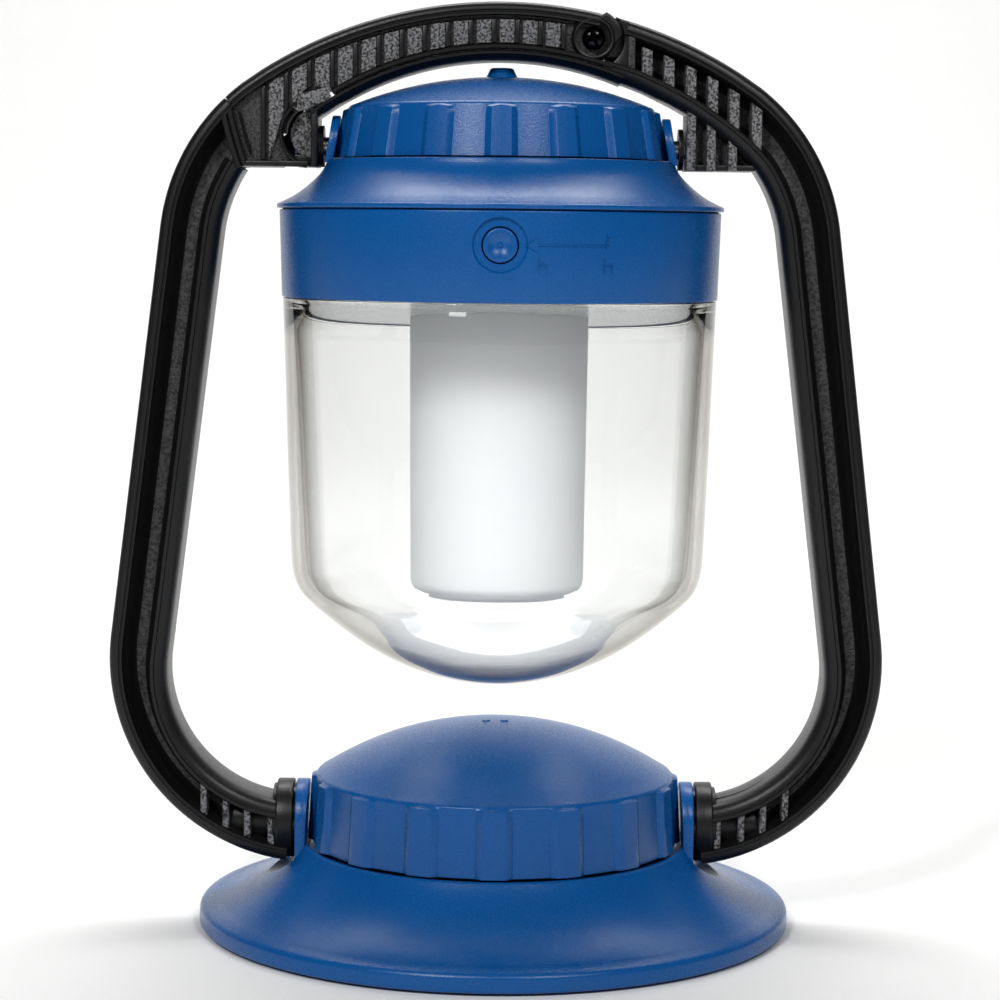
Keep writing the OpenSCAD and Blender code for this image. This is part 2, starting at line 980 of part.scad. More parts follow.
module globe() {
    outer = globe_side(0);
    inner = globe_side(globe_t);
    color([0.85, 0.92, 0.95, 0.35]) {
        rotate_extrude()
            polygon(concat(
                [[rim_r - 2.2, rim_top], [rim_r, rim_top], [rim_r, globe_top]],
                outer,
                [for (i = [len(inner) - 1:-1:1]) inner[i]],
                [[rim_r - 2.2, globe_top - 4]]
            ));
        for (a = lug_angles)
            sector(rim_r - 0.2, rim_r + 0.9, collar_low + 3, collar_low + 4.8, a, lug_span);
    }
}

module globe_seal() {
    color(black)
        rotate_extrude()
            translate([rim_r - 2, rim_top + 0.3])
                square([1.8, 1]);
}

// ---- foot ----

// Section of the flare from the rim's crease up to the lip, at depth d
function flare(d) =
    let (
        p = [foot_r - 4.5, 6.6],
        q = lip_foot,
        m = (p + q) / 2,
        chord = norm(q - p),
        n = [q[1] - p[1], p[0] - q[0]] / chord,
        R = chord * flare_bend,
        c = m + n * sqrt(R * R - chord * chord / 4),
        a0 = atan2(p[1] - c[1], p[0] - c[0]),
        a1 = atan2(q[1] - c[1], q[0] - c[0])
    )
    [for (i = [0:10]) let (a = a0 + (a1 - a0) * i / 10) c + (R + d) * [cos(a), sin(a)]];

module base_foot() {
    color(blue)
        difference() {
            union() {
                rotate_extrude()
                    polygon(concat(
                        [
                            [foot_r - 3.2, rim_low],
                            [foot_r - 0.4, rim_low],
                            [foot_r, rim_low + 0.6],
                            [foot_r - 0.3, 4.9],
                            [foot_r - 1, 5.7],
                        ],
                        flare(0),
                        [
                            [lip_foot[0] - 0.3, 22],
                            [lip_foot[0] - 1.6, 22],
                            [cover_r - 0.6, cover_low - 1.6],
                            [well_out, cover_low - 1.6],
                            [well_out, cover_low + 11],
                            [well_r, cover_low + 11],
                            [well_r, well_floor + wall],
                            [0, well_floor + wall],
                            [0, well_floor],
                            [well_out, well_floor],
                            [well_out, cover_low - 4.4],
                        ],
                        [for (i = [9:-1:1]) flare(wall)[i]],
                        [[foot_r - 3.2, 3.8]]
                    ));
                both_sides() {
                    foot_lug();
                    pocket_floor();
                }
                for (a = lug_angles)
                    sector(well_out - 0.2, well_out + 1, cover_low + 6.4, cover_low + 8.4, a, lug_span);
                for (a = screw_angles)
                    rotate(a)
                        translate([foot_screw_r, 0, 3.6])
                            cylinder(r = 3.4, h = 5.6);
            }
            both_sides() {
                rod_x(foot_pin_r + pin_gap, lug_in - 0.2, lug_out + 1, foot_pivot_z);
                rod_x(valley_r, lug_out, foot_r + 4, foot_pivot_z);
            }
            for (a = screw_angles)
                rotate(a)
                    translate([foot_screw_r, 0, 0])
                        cylinder(r = 1.25, h = 7.4);
        }
}

// Floor of the pocket that an arm's collar turns in
module pocket_floor() {
    intersection() {
        rod_x(valley_r + wall, lip_foot[0] - 0.6, foot_r - 6, foot_pivot_z);
        rotate_extrude()
            polygon(concat(
                [for (i = [1:10]) flare(wall / 2)[i]],
                [[lip_foot[0] - wall, lip_foot[1] - 8], [lip_foot[0] - wall, 5], [foot_r - 7, 5]]
            ));
    }
}

// Round-topped plate beside the cover that holds a pin
module foot_lug() {
    translate([lug_in, 0, 0]) {
        rod_x(collar_r, 0, lug_out - lug_in, foot_pivot_z);
        translate([0, -collar_r, 18])
            cube([lug_out - lug_in, 2 * collar_r, foot_pivot_z - 18]);
    }
}

module base_plate() {
    color(black)
        difference() {
            translate([0, 0, 1.8])
                cylinder(r = foot_r - 3.6, h = 1.8);
            for (a = screw_angles)
                rotate(a)
                    translate([foot_screw_r, 0, 0])
                        cylinder(r = 1.6, h = 6);
            for (a = [0:90:270])
                rotate(a)
                    translate([tread_r, 0, 0])
                        cylinder(r = 2.2, h = 6);
        }
}

module plate_screws() {
    color(steel)
        for (a = screw_angles)
            rotate(a)
                translate([foot_screw_r, 0, 0]) {
                    translate([0, 0, 0.9])
                        cylinder(r = 2.7, h = 0.9);
                    translate([0, 0, 1.7])
                        cylinder(r = 1.25, h = 5.4);
                }
}

module rubber_feet() {
    color(black)
        for (a = [0:90:270])
            rotate(a)
                translate([tread_r, 0, 0]) {
                    cylinder(r = 5.5, h = 1.8);
                    translate([0, 0, 1.7])
                        cylinder(r = 2.2, h = 2.1);
                }
}

cover_core = cover_r - pad_t;

module base_cover() {
    inner = well_out + 1.5;
    under = cover_high - 1.2;
    color(blue) {
        rotate_extrude()
            polygon(concat(
                [[inner, cover_low], [cover_core, cover_low], [cover_core - cover_draft, cover_high]],
                dome(cover_core - cover_draft - 0.3, cover_high + 0.6, cover_top - cover_high - 0.6),
                [for (i = [8:-1:0]) dome(inner - cover_draft, under, cover_top - wall - 0.2 - under)[i]],
                [[inner, cover_low + 12]]
            ));
        pad_ring(cover_r, cover_r - cover_draft, cover_low, cover_high + pad_lip, pad_t + let_in);
        for (a = lug_angles)
            sector(well_out + turn_gap, inner + 0.4, cover_low + 4, cover_low + 6, a, lug_span);
    }
}

module cover_seal() {
    color(black)
        rotate_extrude()
            translate([well_out + 1, cover_low - 0.9])
                circle(r = 0.7, $fn = 24);
}

// ---- assembly ----

base_foot();
base_plate();
plate_screws();
rubber_feet();
base_cover();
cover_seal();
left_arm();
right_arm();
foot_pins();
pivot_washers();
head_pins();
pivot_discs();
gate();
gate_screw();
gate_nut();
bell_housing();
collar_ring();
housing_screws();
collar_gasket();
reflector_plate();
diffuser();
led_board();
leds();
battery_holder();
battery_cells();
contact_springs();
switch_board();
tact_switch();
lead_wires();
button_spring();
power_button();
head_cap();
cap_seal();
cap_contact();
globe();
globe_seal();
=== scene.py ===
import json
import math

import bmesh
import bpy
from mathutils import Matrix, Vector


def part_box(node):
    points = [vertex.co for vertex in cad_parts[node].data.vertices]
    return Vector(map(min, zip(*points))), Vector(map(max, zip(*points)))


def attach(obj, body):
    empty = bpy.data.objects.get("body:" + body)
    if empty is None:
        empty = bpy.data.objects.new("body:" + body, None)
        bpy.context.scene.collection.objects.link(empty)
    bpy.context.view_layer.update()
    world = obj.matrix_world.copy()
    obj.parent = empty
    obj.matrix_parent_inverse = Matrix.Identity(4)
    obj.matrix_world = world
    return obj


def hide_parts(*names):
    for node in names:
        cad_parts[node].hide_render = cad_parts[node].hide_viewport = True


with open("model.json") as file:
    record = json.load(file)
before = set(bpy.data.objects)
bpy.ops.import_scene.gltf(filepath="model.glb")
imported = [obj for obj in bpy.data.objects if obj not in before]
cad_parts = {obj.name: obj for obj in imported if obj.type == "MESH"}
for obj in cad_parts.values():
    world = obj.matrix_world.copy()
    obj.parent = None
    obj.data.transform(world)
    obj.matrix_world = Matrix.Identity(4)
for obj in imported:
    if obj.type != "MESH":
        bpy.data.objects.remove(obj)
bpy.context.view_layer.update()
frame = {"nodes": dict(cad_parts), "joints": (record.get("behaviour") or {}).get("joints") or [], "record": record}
print("frame loaded:", len(frame["nodes"]), "nodes")

mm = 0.001
scene = bpy.context.scene
joints = {joint["name"]: joint for joint in frame["joints"]}


def nodeSpan(node):
    # lowest and highest corner of a CAD node, in millimetres
    low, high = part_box(node)
    return [v / mm for v in low], [v / mm for v in high]


# shape tools; all their sizes are in millimetres


def arcPoints(centre, radius, start, end, count):
    # angles in degrees, counted from +X towards +Z
    points = []
    for i in range(count + 1):
        angle = math.radians(start + (end - start) * i / count)
        points.append((centre[0] + radius * math.cos(angle), centre[1] + radius * math.sin(angle)))
    return points


def rounded(corners, steps=4, closed=True):
    # corners are (x, z) or (x, z, radius); a radius turns the corner into an arc
    points = []
    count = len(corners)
    for i, corner in enumerate(corners):
        here = Vector(corner[:2])
        radius = corner[2] if len(corner) > 2 else 0
        if radius <= 0 or (not closed and i in (0, count - 1)):
            points.append(tuple(here))
            continue
        back = Vector(corners[i - 1][:2]) - here
        ahead = Vector(corners[(i + 1) % count][:2]) - here
        angle = back.angle(ahead)
        if angle > math.radians(178):
            points.append(tuple(here))
            continue
        reach = min(radius / math.tan(angle / 2), back.length * 0.49, ahead.length * 0.49)
        radius = reach * math.tan(angle / 2)
        back.normalize()
        ahead.normalize()
        centre = here + (back + ahead).normalized() * (radius / math.sin(angle / 2))
        first = here + back * reach - centre
        last = here + ahead * reach - centre
        turn = math.atan2(first.x * last.y - first.y * last.x, first.dot(last))
        for k in range(steps + 1):
            c, s = math.cos(turn * k / steps), math.sin(turn * k / steps)
            points.append((centre.x + first.x * c - first.y * s, centre.y + first.x * s + first.y * c))
    return points


def smoothCurve(points, steps=6):
    # Catmull-Rom curve through the points
    result = []
    last = len(points) - 1
    for i in range(last):
        p = [Vector(points[max(0, min(last, i + k))]) for k in (-1, 0, 1, 2)]
        for step in range(steps):
            t = step / steps
            v = 0.5 * ((2 * p[1]) + (p[2] - p[0]) * t + (2 * p[0] - 5 * p[1] + 4 * p[2] - p[3]) * t * t
                       + (3 * p[1] - p[0] - 3 * p[2] + p[3]) * t ** 3)
            result.append(tuple(v))
    result.append(tuple(points[-1]))
    return result


def clipped(points, centre, radius):
    # the part of a line that lies outside (radius > 0) or inside (radius < 0) a circle, cut at the nearest twelfth
    # of each step
    def keeps(point):
        away = math.dist(point, centre)
        return away > radius if radius > 0 else away < -radius

    result = []
    for a, b in zip(points, points[1:]):
        for k in range(12):
            t = k / 12
            point = (a[0] + (b[0] - a[0]) * t, a[1] + (b[1] - a[1]) * t)
            if keeps(point) and (k == 0 or not keeps(a) or not keeps(b)):
                result.append(point)
    if keeps(points[-1]):
        result.append(points[-1])
    return result


def resample(points, count):
    # the same line with its points evenly spread
    lengths = [0]
    for a, b in zip(points, points[1:]):
        lengths.append(lengths[-1] + math.dist(a, b))
    result = []
    segment = 0
    for i in range(count):
        want = lengths[-1] * i / (count - 1)
        while segment < len(points) - 2 and lengths[segment + 1] < want:
            segment += 1
        span = lengths[segment + 1] - lengths[segment] or 1
        t = (want - lengths[segment]) / span
        a, b = points[segment], points[segment + 1]
        result.append((a[0] + (b[0] - a[0]) * t, a[1] + (b[1] - a[1]) * t))
    return result


def insetOutline(outline, distance):
    # moves every corner of a closed outline inwards
    area = sum(a[0] * b[1] - b[0] * a[1] for a, b in zip(outline, outline[1:] + outline[:1]))
    side = 1 if area > 0 else -1
    result = []
    count = len(outline)
    for i, here in enumerate(outline):
        back = Vector(here) - Vector(outline[i - 1])
        ahead = Vector(outline[(i + 1) % count]) - Vector(here)
        if back.length < 1e-6 or ahead.length < 1e-6:
            back = ahead = back if back.length > ahead.length else ahead
        n1 = Vector((-back.y, back.x)).normalized() * side
        n2 = Vector((-ahead.y, ahead.x)).normalized() * side
        middle = n1 + n2
        middle = middle.normalized() if middle.length > 1e-6 else n1
        stretch = 1 / max(0.5, middle.dot(n1))
        result.append((here[0] + middle.x * distance * stretch, here[1] + middle.y * distance * stretch))
    return result


def newPart():
    return {"verts": [], "faces": [], "finish": []}


def addSolid(part, verts, faces, finish):
    start = len(part["verts"])
    part["verts"] += verts
    part["faces"] += [[start + i for i in face] for face in faces]
    part["finish"] += [finish] * len(faces)


def addRings(part, rings, finish):
    # rings of equal length, joined by quads; the ends are closed by one face each
    verts, faces = [], []
    width = len(rings[0])
    for ring in rings:
        verts += ring
    last = (len(rings) - 1) * width
    for a in range(0, last, width):
        for k in range(width):
            n = (k + 1) % width
            faces.append((a + k, a + n, a + width + n, a + width + k))
    faces.append(tuple(range(width - 1, -1, -1)))
    faces.append(tuple(range(last, last + width)))
    addSolid(part, verts, faces, finish)


def place(axis, centre, along, u, v):
    # a point of a section drawn across an axis
    if axis == "x":
        return (centre[0] + along, centre[1] + u, centre[2] + v)
    if axis == "y":
        return (centre[0] + u, centre[1] + along, centre[2] + v)
    return (centre[0] + u, centre[1] + v, centre[2] + along)


def addTurned(part, profile, finish, segments=144, centre=(0, 0, 0), axis="z", shift=None, angles=None):
    # closed profile of (radius, height) turned about an axis;
    # shift(angle, radius, height) moves a point outwards
    angles = angles or [360 * i / segments for i in range(segments)]
    verts, faces, rows = [], [], []
    for radius, along in profile:
        if radius < 1e-6:
            rows.append([len(verts)])
            verts.append(place(axis, centre, along, 0, 0))
            continue
        row = []
        for angle in angles:
            r = radius + (shift(angle, radius, along) if shift else 0)
            row.append(len(verts))
            a = math.radians(angle)
            verts.append(place(axis, centre, along, r * math.cos(a), r * math.sin(a)))
        rows.append(row)
    pairs = list(zip(rows, rows[1:]))
    if not (len(rows[0]) == 1 and len(rows[-1]) == 1):
        pairs.append((rows[-1], rows[0]))
    count = len(angles)
    for a, b in pairs:
        if len(a) == 1 and len(b) == 1:
            continue
        for k in range(count):
            n = (k + 1) % count
            if len(a) == 1:
                faces.append((a[0], b[k], b[n]))
            elif len(b) == 1:
                faces.append((a[k], a[n], b[0]))
            else:
                faces.append((a[k], a[n], b[n], b[k]))
    addSolid(part, verts, faces, finish)


def addPrism(part, outline, y0, y1, finish, edge=0.35, axis="y", centre=(0, 0, 0)):
    # an outline made thick, with its edges broken all round
    edge = min(edge, (y1 - y0) * 0.4)
    small = insetOutline(outline, edge)
    middle = insetOutline(outline, edge * 0.3)
    rings = []
    for y, line in ((y0, small), (y0 + edge * 0.3, middle), (y0 + edge, outline),
                    (y1 - edge, outline), (y1 - edge * 0.3, middle), (y1, small)):
        rings.append([place(axis, centre, y, u, v) for u, v in line])
    addRings(part, rings, finish)


def addBlock(part, x, y, z, finish):
    # a block with its corners and edges broken
    corners = [(x[0], z[0], 0.4), (x[1], z[0], 0.4), (x[1], z[1], 0.4), (x[0], z[1], 0.4)]
    addPrism(part, rounded(corners, 3), y[0], y[1], finish)


def addSwept(part, path, profile, finish, side=1):
    # profile of (inwards, y) carried along a path of (x, z); side says which way is inwards
    rings = []
    last = len(path) - 1
    for i, here in enumerate(path):
        t = (Vector(path[min(last, i + 1)]) - Vector(path[max(0, i - 1)])).normalized()
        n = Vector((-t.y, t.x)) * side
        rings.append([(here[0] + n.x * s, y, here[1] + n.y * s) for s, y in profile])
    addRings(part, rings, finish)


def addRuled(part, lineA, lineB, y0, y1, finish, count=60):
    # a plate between two lines
    a, b = resample(lineA, count), resample(lineB, count)
    rings = [[(p[0], y0, p[1]), (q[0], y0, q[1]), (q[0], y1, q[1]), (p[0], y1, p[1])] for p, q in zip(a, b)]
    addRings(part, rings, finish)


def meshFrom(name, part):
    mesh = bpy.data.meshes.new(name)
    mesh.from_pydata([(x * mm, y * mm, z * mm) for x, y, z in part["verts"]], [], part["faces"])
    return mesh


def turnOutwards(mesh, weld=0.0):
    # every face looks outwards; points nearer than the weld distance become one
    work = bmesh.new()
    work.from_mesh(mesh)
    if weld:
        bmesh.ops.remove_doubles(work, verts=work.verts, dist=weld)
    bmesh.ops.recalc_face_normals(work, faces=work.faces)
    work.to_mesh(mesh)
    work.free()


def shade(mesh, sharp):
    mesh.polygons.foreach_set("use_smooth", [True] * len(mesh.polygons))
    mesh.set_sharp_from_angle(angle=math.radians(sharp))


def finishPart(name, part, body, replaces=(), sharp=32):
    # makes the object, shades it, gives it its materials and its body
    mesh = meshFrom(name, part)
    order = sorted(set(part["finish"]))
    for finish in order:
        mesh.materials.append(finishes[finish])
    mesh.polygons.foreach_set("material_index", [order.index(f) for f in part["finish"]])
    turnOutwards(mesh, 1e-7)
    shade(mesh, sharp)
    obj = bpy.data.objects.new(name, mesh)
    scene.collection.objects.link(obj)
    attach(obj, body)
    if replaces:
        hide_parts(*replaces)
    return obj


def cutWith(obj, toolPart):
    # takes the tool's shape out of the piece; the tool is thrown away
    mesh = meshFrom("cutter", toolPart)
    turnOutwards(mesh)
    tool = bpy.data.objects.new("cutter", mesh)
    scene.collection.objects.link(tool)
    modifier = obj.modifiers.new("cut", "BOOLEAN")
    modifier.operation = "DIFFERENCE"
    modifier.solver = "EXACT"
    modifier.object = tool
    bpy.context.view_layer.update()
    result = bpy.data.meshes.new_from_object(obj.evaluated_get(bpy.context.evaluated_depsgraph_get()))
    obj.modifiers.clear()
    obj.data = result
    shade(result, 32)
    bpy.data.objects.remove(tool)


def toLinear(hexColour):
    # sRGB hex to the linear colour that the shaders take
    channels = []
    for i in (1, 3, 5):
        c = int(hexColour[i:i + 2], 16) / 255
        channels.append(c / 12.92 if c <= 0.04045 else ((c + 0.055) / 1.055) ** 2.4)
    return (*channels, 1)


def addNode(tree, kind, settings=None, links=None):
    node = tree.nodes.new(kind)
    for key, value in (settings or {}).items():
        if key in node.inputs:
            node.inputs[key].default_value = value
        else:
            setattr(node, key, value)
    for key, socket in (links or {}).items():
        tree.links.new(socket, node.inputs[key])
    return node


def startMaterial(name):
    material = bpy.data.materials.new(name)
    material.use_nodes = True
    tree = material.node_tree
    tree.nodes.clear()
    return material, tree


def mouldedPlastic(name, spec):
    # one recipe for moulded parts: grain from the mould's texture, faint changes of tone, broken gloss
    material, tree = startMaterial(name)
    place3d = addNode(tree, "ShaderNodeTexCoord").outputs["Object"]
    grainSize = spec["grainMm"] * mm
    grain = addNode(tree, "ShaderNodeTexNoise", {"Scale": 1 / grainSize, "Detail": 3.0, "Roughness": 0.6},
                    {"Vector": place3d})
    broad = addNode(tree, "ShaderNodeTexNoise", {"Scale": 1 / (spec["mottleMm"] * mm), "Detail": 2.0},
                    {"Vector": place3d})
    low, high = spec.get("mottleSpan", (0.0, 1.0))
    mottleAndGlintMix = addNode(tree, "ShaderNodeMapRange", {"From Min": low, "From Max": high},
                     {"Value": broad.outputs["Fac"]})
    # on the grained black nylon this mix sets painted glints, grey specks, into the colour; elsewhere it is a
    # faint change of tone
    colour = addNode(tree, "ShaderNodeMix", {"data_type": "RGBA"}, {"Factor": mottleAndGlintMix.outputs["Result"]})
    colour.inputs["A"].default_value = toLinear(spec["colour"])
    colour.inputs["B"].default_value = toLinear(spec["colourDeep"])
    roughness = {"From Min": 0.35, "From Max": 0.7, "To Min": spec["roughLow"], "To Max": spec["roughHigh"]}
    speck = addNode(tree, "ShaderNodeMapRange", roughness, {"Value": grain.outputs["Fac"]})
    bump = addNode(tree, "ShaderNodeBump", {"Strength": spec["grainStrength"], "Distance": grainSize},
                   {"Height": grain.outputs["Fac"]})
    shader = addNode(tree, "ShaderNodeBsdfPrincipled",
                     {"IOR": spec["ior"], "Metallic": spec.get("metallic", 0.0),
                      "Specular IOR Level": spec.get("specular", 0.5)},
                     {"Base Color": colour.outputs["Result"], "Roughness": speck.outputs["Result"],
                      "Normal": bump.outputs["Normal"]})
    addNode(tree, "ShaderNodeOutputMaterial", None, {"Surface": shader.outputs["BSDF"]})
    return material


# ABS is 1.54 and nylon 1.53; both are dielectric, so metallic stays 0
blueAbs = mouldedPlastic("blueAbs", {
    # a fine spark-eroded mould leaves a satin skin that sparkles a little in the lights;
    # the real grain is about 0.1 mm, drawn at 0.45 mm so that it shows
    "colour": "#005398", "colourDeep": "#004b8c", "grainMm": 0.45, "mottleMm": 30,
    "roughLow": 0.22, "roughHigh": 0.36, "grainStrength": 0.15, "ior": 1.54, "specular": 0.3})
blackNylonGrain = mouldedPlastic("blackNylonGrain", {
    # etched leather grain on the web's floors: coarse, matt, with painted glints in its colour: grey specks where
    # the light rakes it;
    # the real grain is about 0.2 mm, drawn at 0.55 mm so that it shows
    "colour": "#3a3a3b", "colourDeep": "#0d0d0e", "grainMm": 0.55, "mottleMm": 0.8,
    "mottleSpan": (0.4, 0.62), "roughLow": 0.38, "roughHigh": 0.62, "grainStrength": 0.9, "ior": 1.53})
blackNylonCoarse = mouldedPlastic("blackNylonCoarse", {
    # spark-eroded fronts of the pads and ribs: each grain catches the light, and that sparkle is painted into the
    # colour as grey specks on the black;
    # the real grain is about 0.2 mm, drawn at 0.55 mm so that it shows
    "colour": "#7c7c7e", "colourDeep": "#0c0c0d", "grainMm": 0.55, "mottleMm": 0.7,
    "mottleSpan": (0.42, 0.6), "roughLow": 0.3, "roughHigh": 0.55, "grainStrength": 1.0, "ior": 1.53})
blackNylonSmooth = mouldedPlastic("blackNylonSmooth", {
    # flanges come off a finer part of the mould and take a soft sheen
    "colour": "#111112", "colourDeep": "#0d0d0e", "grainMm": 0.4, "mottleMm": 18,
    "roughLow": 0.3, "roughHigh": 0.42, "grainStrength": 0.12, "ior": 1.53, "specular": 0.3})
blackRubber = mouldedPlastic("blackRubber", {
    # pressed nitrile rubber: dull, with no highlight of its own
    "colour": "#1b1b1b", "colourDeep": "#141414", "grainMm": 0.3, "mottleMm": 8,
    "roughLow": 0.75, "roughHigh": 0.9, "grainStrength": 0.3, "ior": 1.52})
whiteAbs = mouldedPlastic("whiteAbs", {
    # polished white pan, so that the light is thrown down
    "colour": "#eef0f1", "colourDeep": "#e6e8ea", "grainMm": 0.5, "mottleMm": 20,
    "roughLow": 0.2, "roughHigh": 0.3, "grainStrength": 0.03, "ior": 1.54})
zincSteel = mouldedPlastic("zincSteel", {
    # drawn wire and turned pins, zinc plated: bright with a faint drawn mottling
    "colour": "#c4c7ca", "colourDeep": "#aeb1b5", "grainMm": 0.4, "mottleMm": 3,
    "roughLow": 0.22, "roughHigh": 0.36, "grainStrength": 0.08, "ior": 1.5, "metallic": 1.0})
blackOxideSteel = mouldedPlastic("blackOxideSteel", {
    # blackened screw head, polished by its tumbling
    "colour": "#2a2a2c", "colourDeep": "#1c1c1e", "grainMm": 0.35, "mottleMm": 2,
    "roughLow": 0.14, "roughHigh": 0.24, "grainStrength": 0.05, "ior": 1.5, "metallic": 1.0})
cellJacket = mouldedPlastic("cellJacket", {
    # foil shrunk on the cells, left plain: brassy and smooth
    "colour": "#a8792c", "colourDeep": "#8f6420", "grainMm": 0.4, "mottleMm": 10,
    "roughLow": 0.25, "roughHigh": 0.35, "grainStrength": 0.03, "ior": 1.5, "metallic": 0.6})
circuitBoard = mouldedPlastic("circuitBoard", {
    # solder mask over glass fibre: green, half gloss
    "colour": "#1f6b3c", "colourDeep": "#195a32", "grainMm": 0.5, "mottleMm": 3,
    "roughLow": 0.3, "roughHigh": 0.45, "grainStrength": 0.05, "ior": 1.5})
phosphor = mouldedPlastic("phosphor", {
    # silicone with phosphor, cast over the lamps: flat yellow
    "colour": "#ead67c", "colourDeep": "#e0c860", "grainMm": 0.3, "mottleMm": 1,
    "roughLow": 0.3, "roughHigh": 0.45, "grainStrength": 0.05, "ior": 1.5})
redPvc = mouldedPlastic("redPvc", {
    # extruded sleeve of the lead wires: smooth, half matt
    "colour": "#a02020", "colourDeep": "#8c1818", "grainMm": 0.4, "mottleMm": 3,
    "roughLow": 0.35, "roughHigh": 0.5, "grainStrength": 0.05, "ior": 1.5})


def clearPolycarbonateMaterial():
    # injection-moulded polycarbonate, IOR 1.585: clear, with long faint flow waves in its wall
    material, tree = startMaterial("clearPolycarbonate")
    place3d = addNode(tree, "ShaderNodeTexCoord").outputs["Object"]
    stretch = addNode(tree, "ShaderNodeMapping", {"Scale": (1.0, 1.0, 0.12)}, {"Vector": place3d})
    wave = addNode(tree, "ShaderNodeTexNoise", {"Scale": 1 / (9 * mm), "Detail": 1.0},
                   {"Vector": stretch.outputs["Vector"]})
    bump = addNode(tree, "ShaderNodeBump", {"Strength": 0.05, "Distance": 0.4 * mm},
                   {"Height": wave.outputs["Fac"]})
    haze = addNode(tree, "ShaderNodeMapRange", {"To Min": 0.0, "To Max": 0.02},
                   {"Value": wave.outputs["Fac"]})
    # seen edge on, the light crosses centimetres of plastic and the wall goes warm grey
    slant = addNode(tree, "ShaderNodeLayerWeight", {"Blend": 0.5})
    edge = addNode(tree, "ShaderNodeMapRange", {"From Min": 0.5, "From Max": 0.8},
                   {"Value": slant.outputs["Facing"]})
    tint = addNode(tree, "ShaderNodeMix", {"data_type": "RGBA"}, {"Factor": edge.outputs["Result"]})
    tint.inputs["A"].default_value = toLinear("#fcfdfd")
    tint.inputs["B"].default_value = toLinear("#6e6555")
    shader = addNode(tree, "ShaderNodeBsdfPrincipled", {"IOR": 1.585, "Transmission Weight": 1.0},
                     {"Base Color": tint.outputs["Result"], "Roughness": haze.outputs["Result"],
                      "Normal": bump.outputs["Normal"]})
    # the plastic itself soaks up a little of the light
    body = addNode(tree, "ShaderNodeVolumeAbsorption", {"Color": (0.78, 0.76, 0.72, 1), "Density": 40.0})
    # light passes to what is behind the wall, so the tube inside and the floor are lit through it
    path = addNode(tree, "ShaderNodeLightPath")
    clear = addNode(tree, "ShaderNodeBsdfTransparent", {"Color": (0.93, 0.93, 0.93, 1)})
    both = addNode(tree, "ShaderNodeMixShader", None, {"Fac": path.outputs["Is Shadow Ray"]})
    tree.links.new(shader.outputs["BSDF"], both.inputs[1])
    tree.links.new(clear.outputs["BSDF"], both.inputs[2])
    addNode(tree, "ShaderNodeOutputMaterial", None,
            {"Surface": both.outputs["Shader"], "Volume": body.outputs["Volume"]})
    return material


def frostedDiffuserMaterial():
    # opal acrylic tube: the light soaks in and comes out soft
    material, tree = startMaterial("frostedAcrylic")
    place3d = addNode(tree, "ShaderNodeTexCoord").outputs["Object"]
    grain = addNode(tree, "ShaderNodeTexNoise", {"Scale": 1 / (0.5 * mm), "Detail": 2.0}, {"Vector": place3d})
    broad = addNode(tree, "ShaderNodeTexNoise", {"Scale": 1 / (25 * mm), "Detail": 1.0}, {"Vector": place3d})
    colour = addNode(tree, "ShaderNodeMix", {"data_type": "RGBA"}, {"Factor": broad.outputs["Fac"]})
    colour.inputs["A"].default_value = toLinear("#fbfcfe")
    colour.inputs["B"].default_value = toLinear("#f8fafd")
    bump = addNode(tree, "ShaderNodeBump", {"Strength": 0.08, "Distance": 0.1 * mm},
                   {"Height": grain.outputs["Fac"]})
    shader = addNode(tree, "ShaderNodeBsdfPrincipled",
                     {"Roughness": 0.45, "IOR": 1.49, "Subsurface Weight": 0.3, "Subsurface Scale": 2 * mm,
                      "Subsurface Radius": (1.0, 1.0, 1.0)},
                     {"Base Color": colour.outputs["Result"], "Normal": bump.outputs["Normal"]})
    # thin opal wall: about a third of the light that falls on its back comes through
    through = addNode(tree, "ShaderNodeBsdfTranslucent", None,
                      {"Color": colour.outputs["Result"], "Normal": bump.outputs["Normal"]})
    both = addNode(tree, "ShaderNodeMixShader", {"Fac": 0.3})
    tree.links.new(shader.outputs["BSDF"], both.inputs[1])
    tree.links.new(through.outputs["BSDF"], both.inputs[2])
    addNode(tree, "ShaderNodeOutputMaterial", None, {"Surface": both.outputs["Shader"]})
    return material


clearPolycarbonate = clearPolycarbonateMaterial()
frostedAcrylic = frostedDiffuserMaterial()
# finishes of the detailed pieces, and of the CAD nodes by their slot; the grain and coarse finishes carry painted
# glints in their colour
finishes = {"blue": blueAbs, "grain": blackNylonGrain, "coarse": blackNylonCoarse, "smooth": blackNylonSmooth,
            "oxide": blackOxideSteel, "clear": clearPolycarbonate, "frosted": frostedAcrylic}
slotFinish = {"blue_abs": blueAbs, "black_nylon": blackNylonSmooth, "black_rubber": blackRubber,
              "steel": zincSteel, "black_steel": blackOxideSteel, "clear_pc": clearPolycarbonate,
              "frosted_pc": frostedAcrylic, "white_abs": whiteAbs, "led_yellow": phosphor,
              "cell_label": cellJacket, "pcb_green": circuitBoard, "wire_pvc": redPvc}
for entry in frame["record"]["subparts"]:
    cadNode = frame["nodes"][entry["node"]]
    cadNode.data.materials.clear()
    cadNode.data.materials.append(slotFinish[entry["material_slot"]])
print("materials ready")

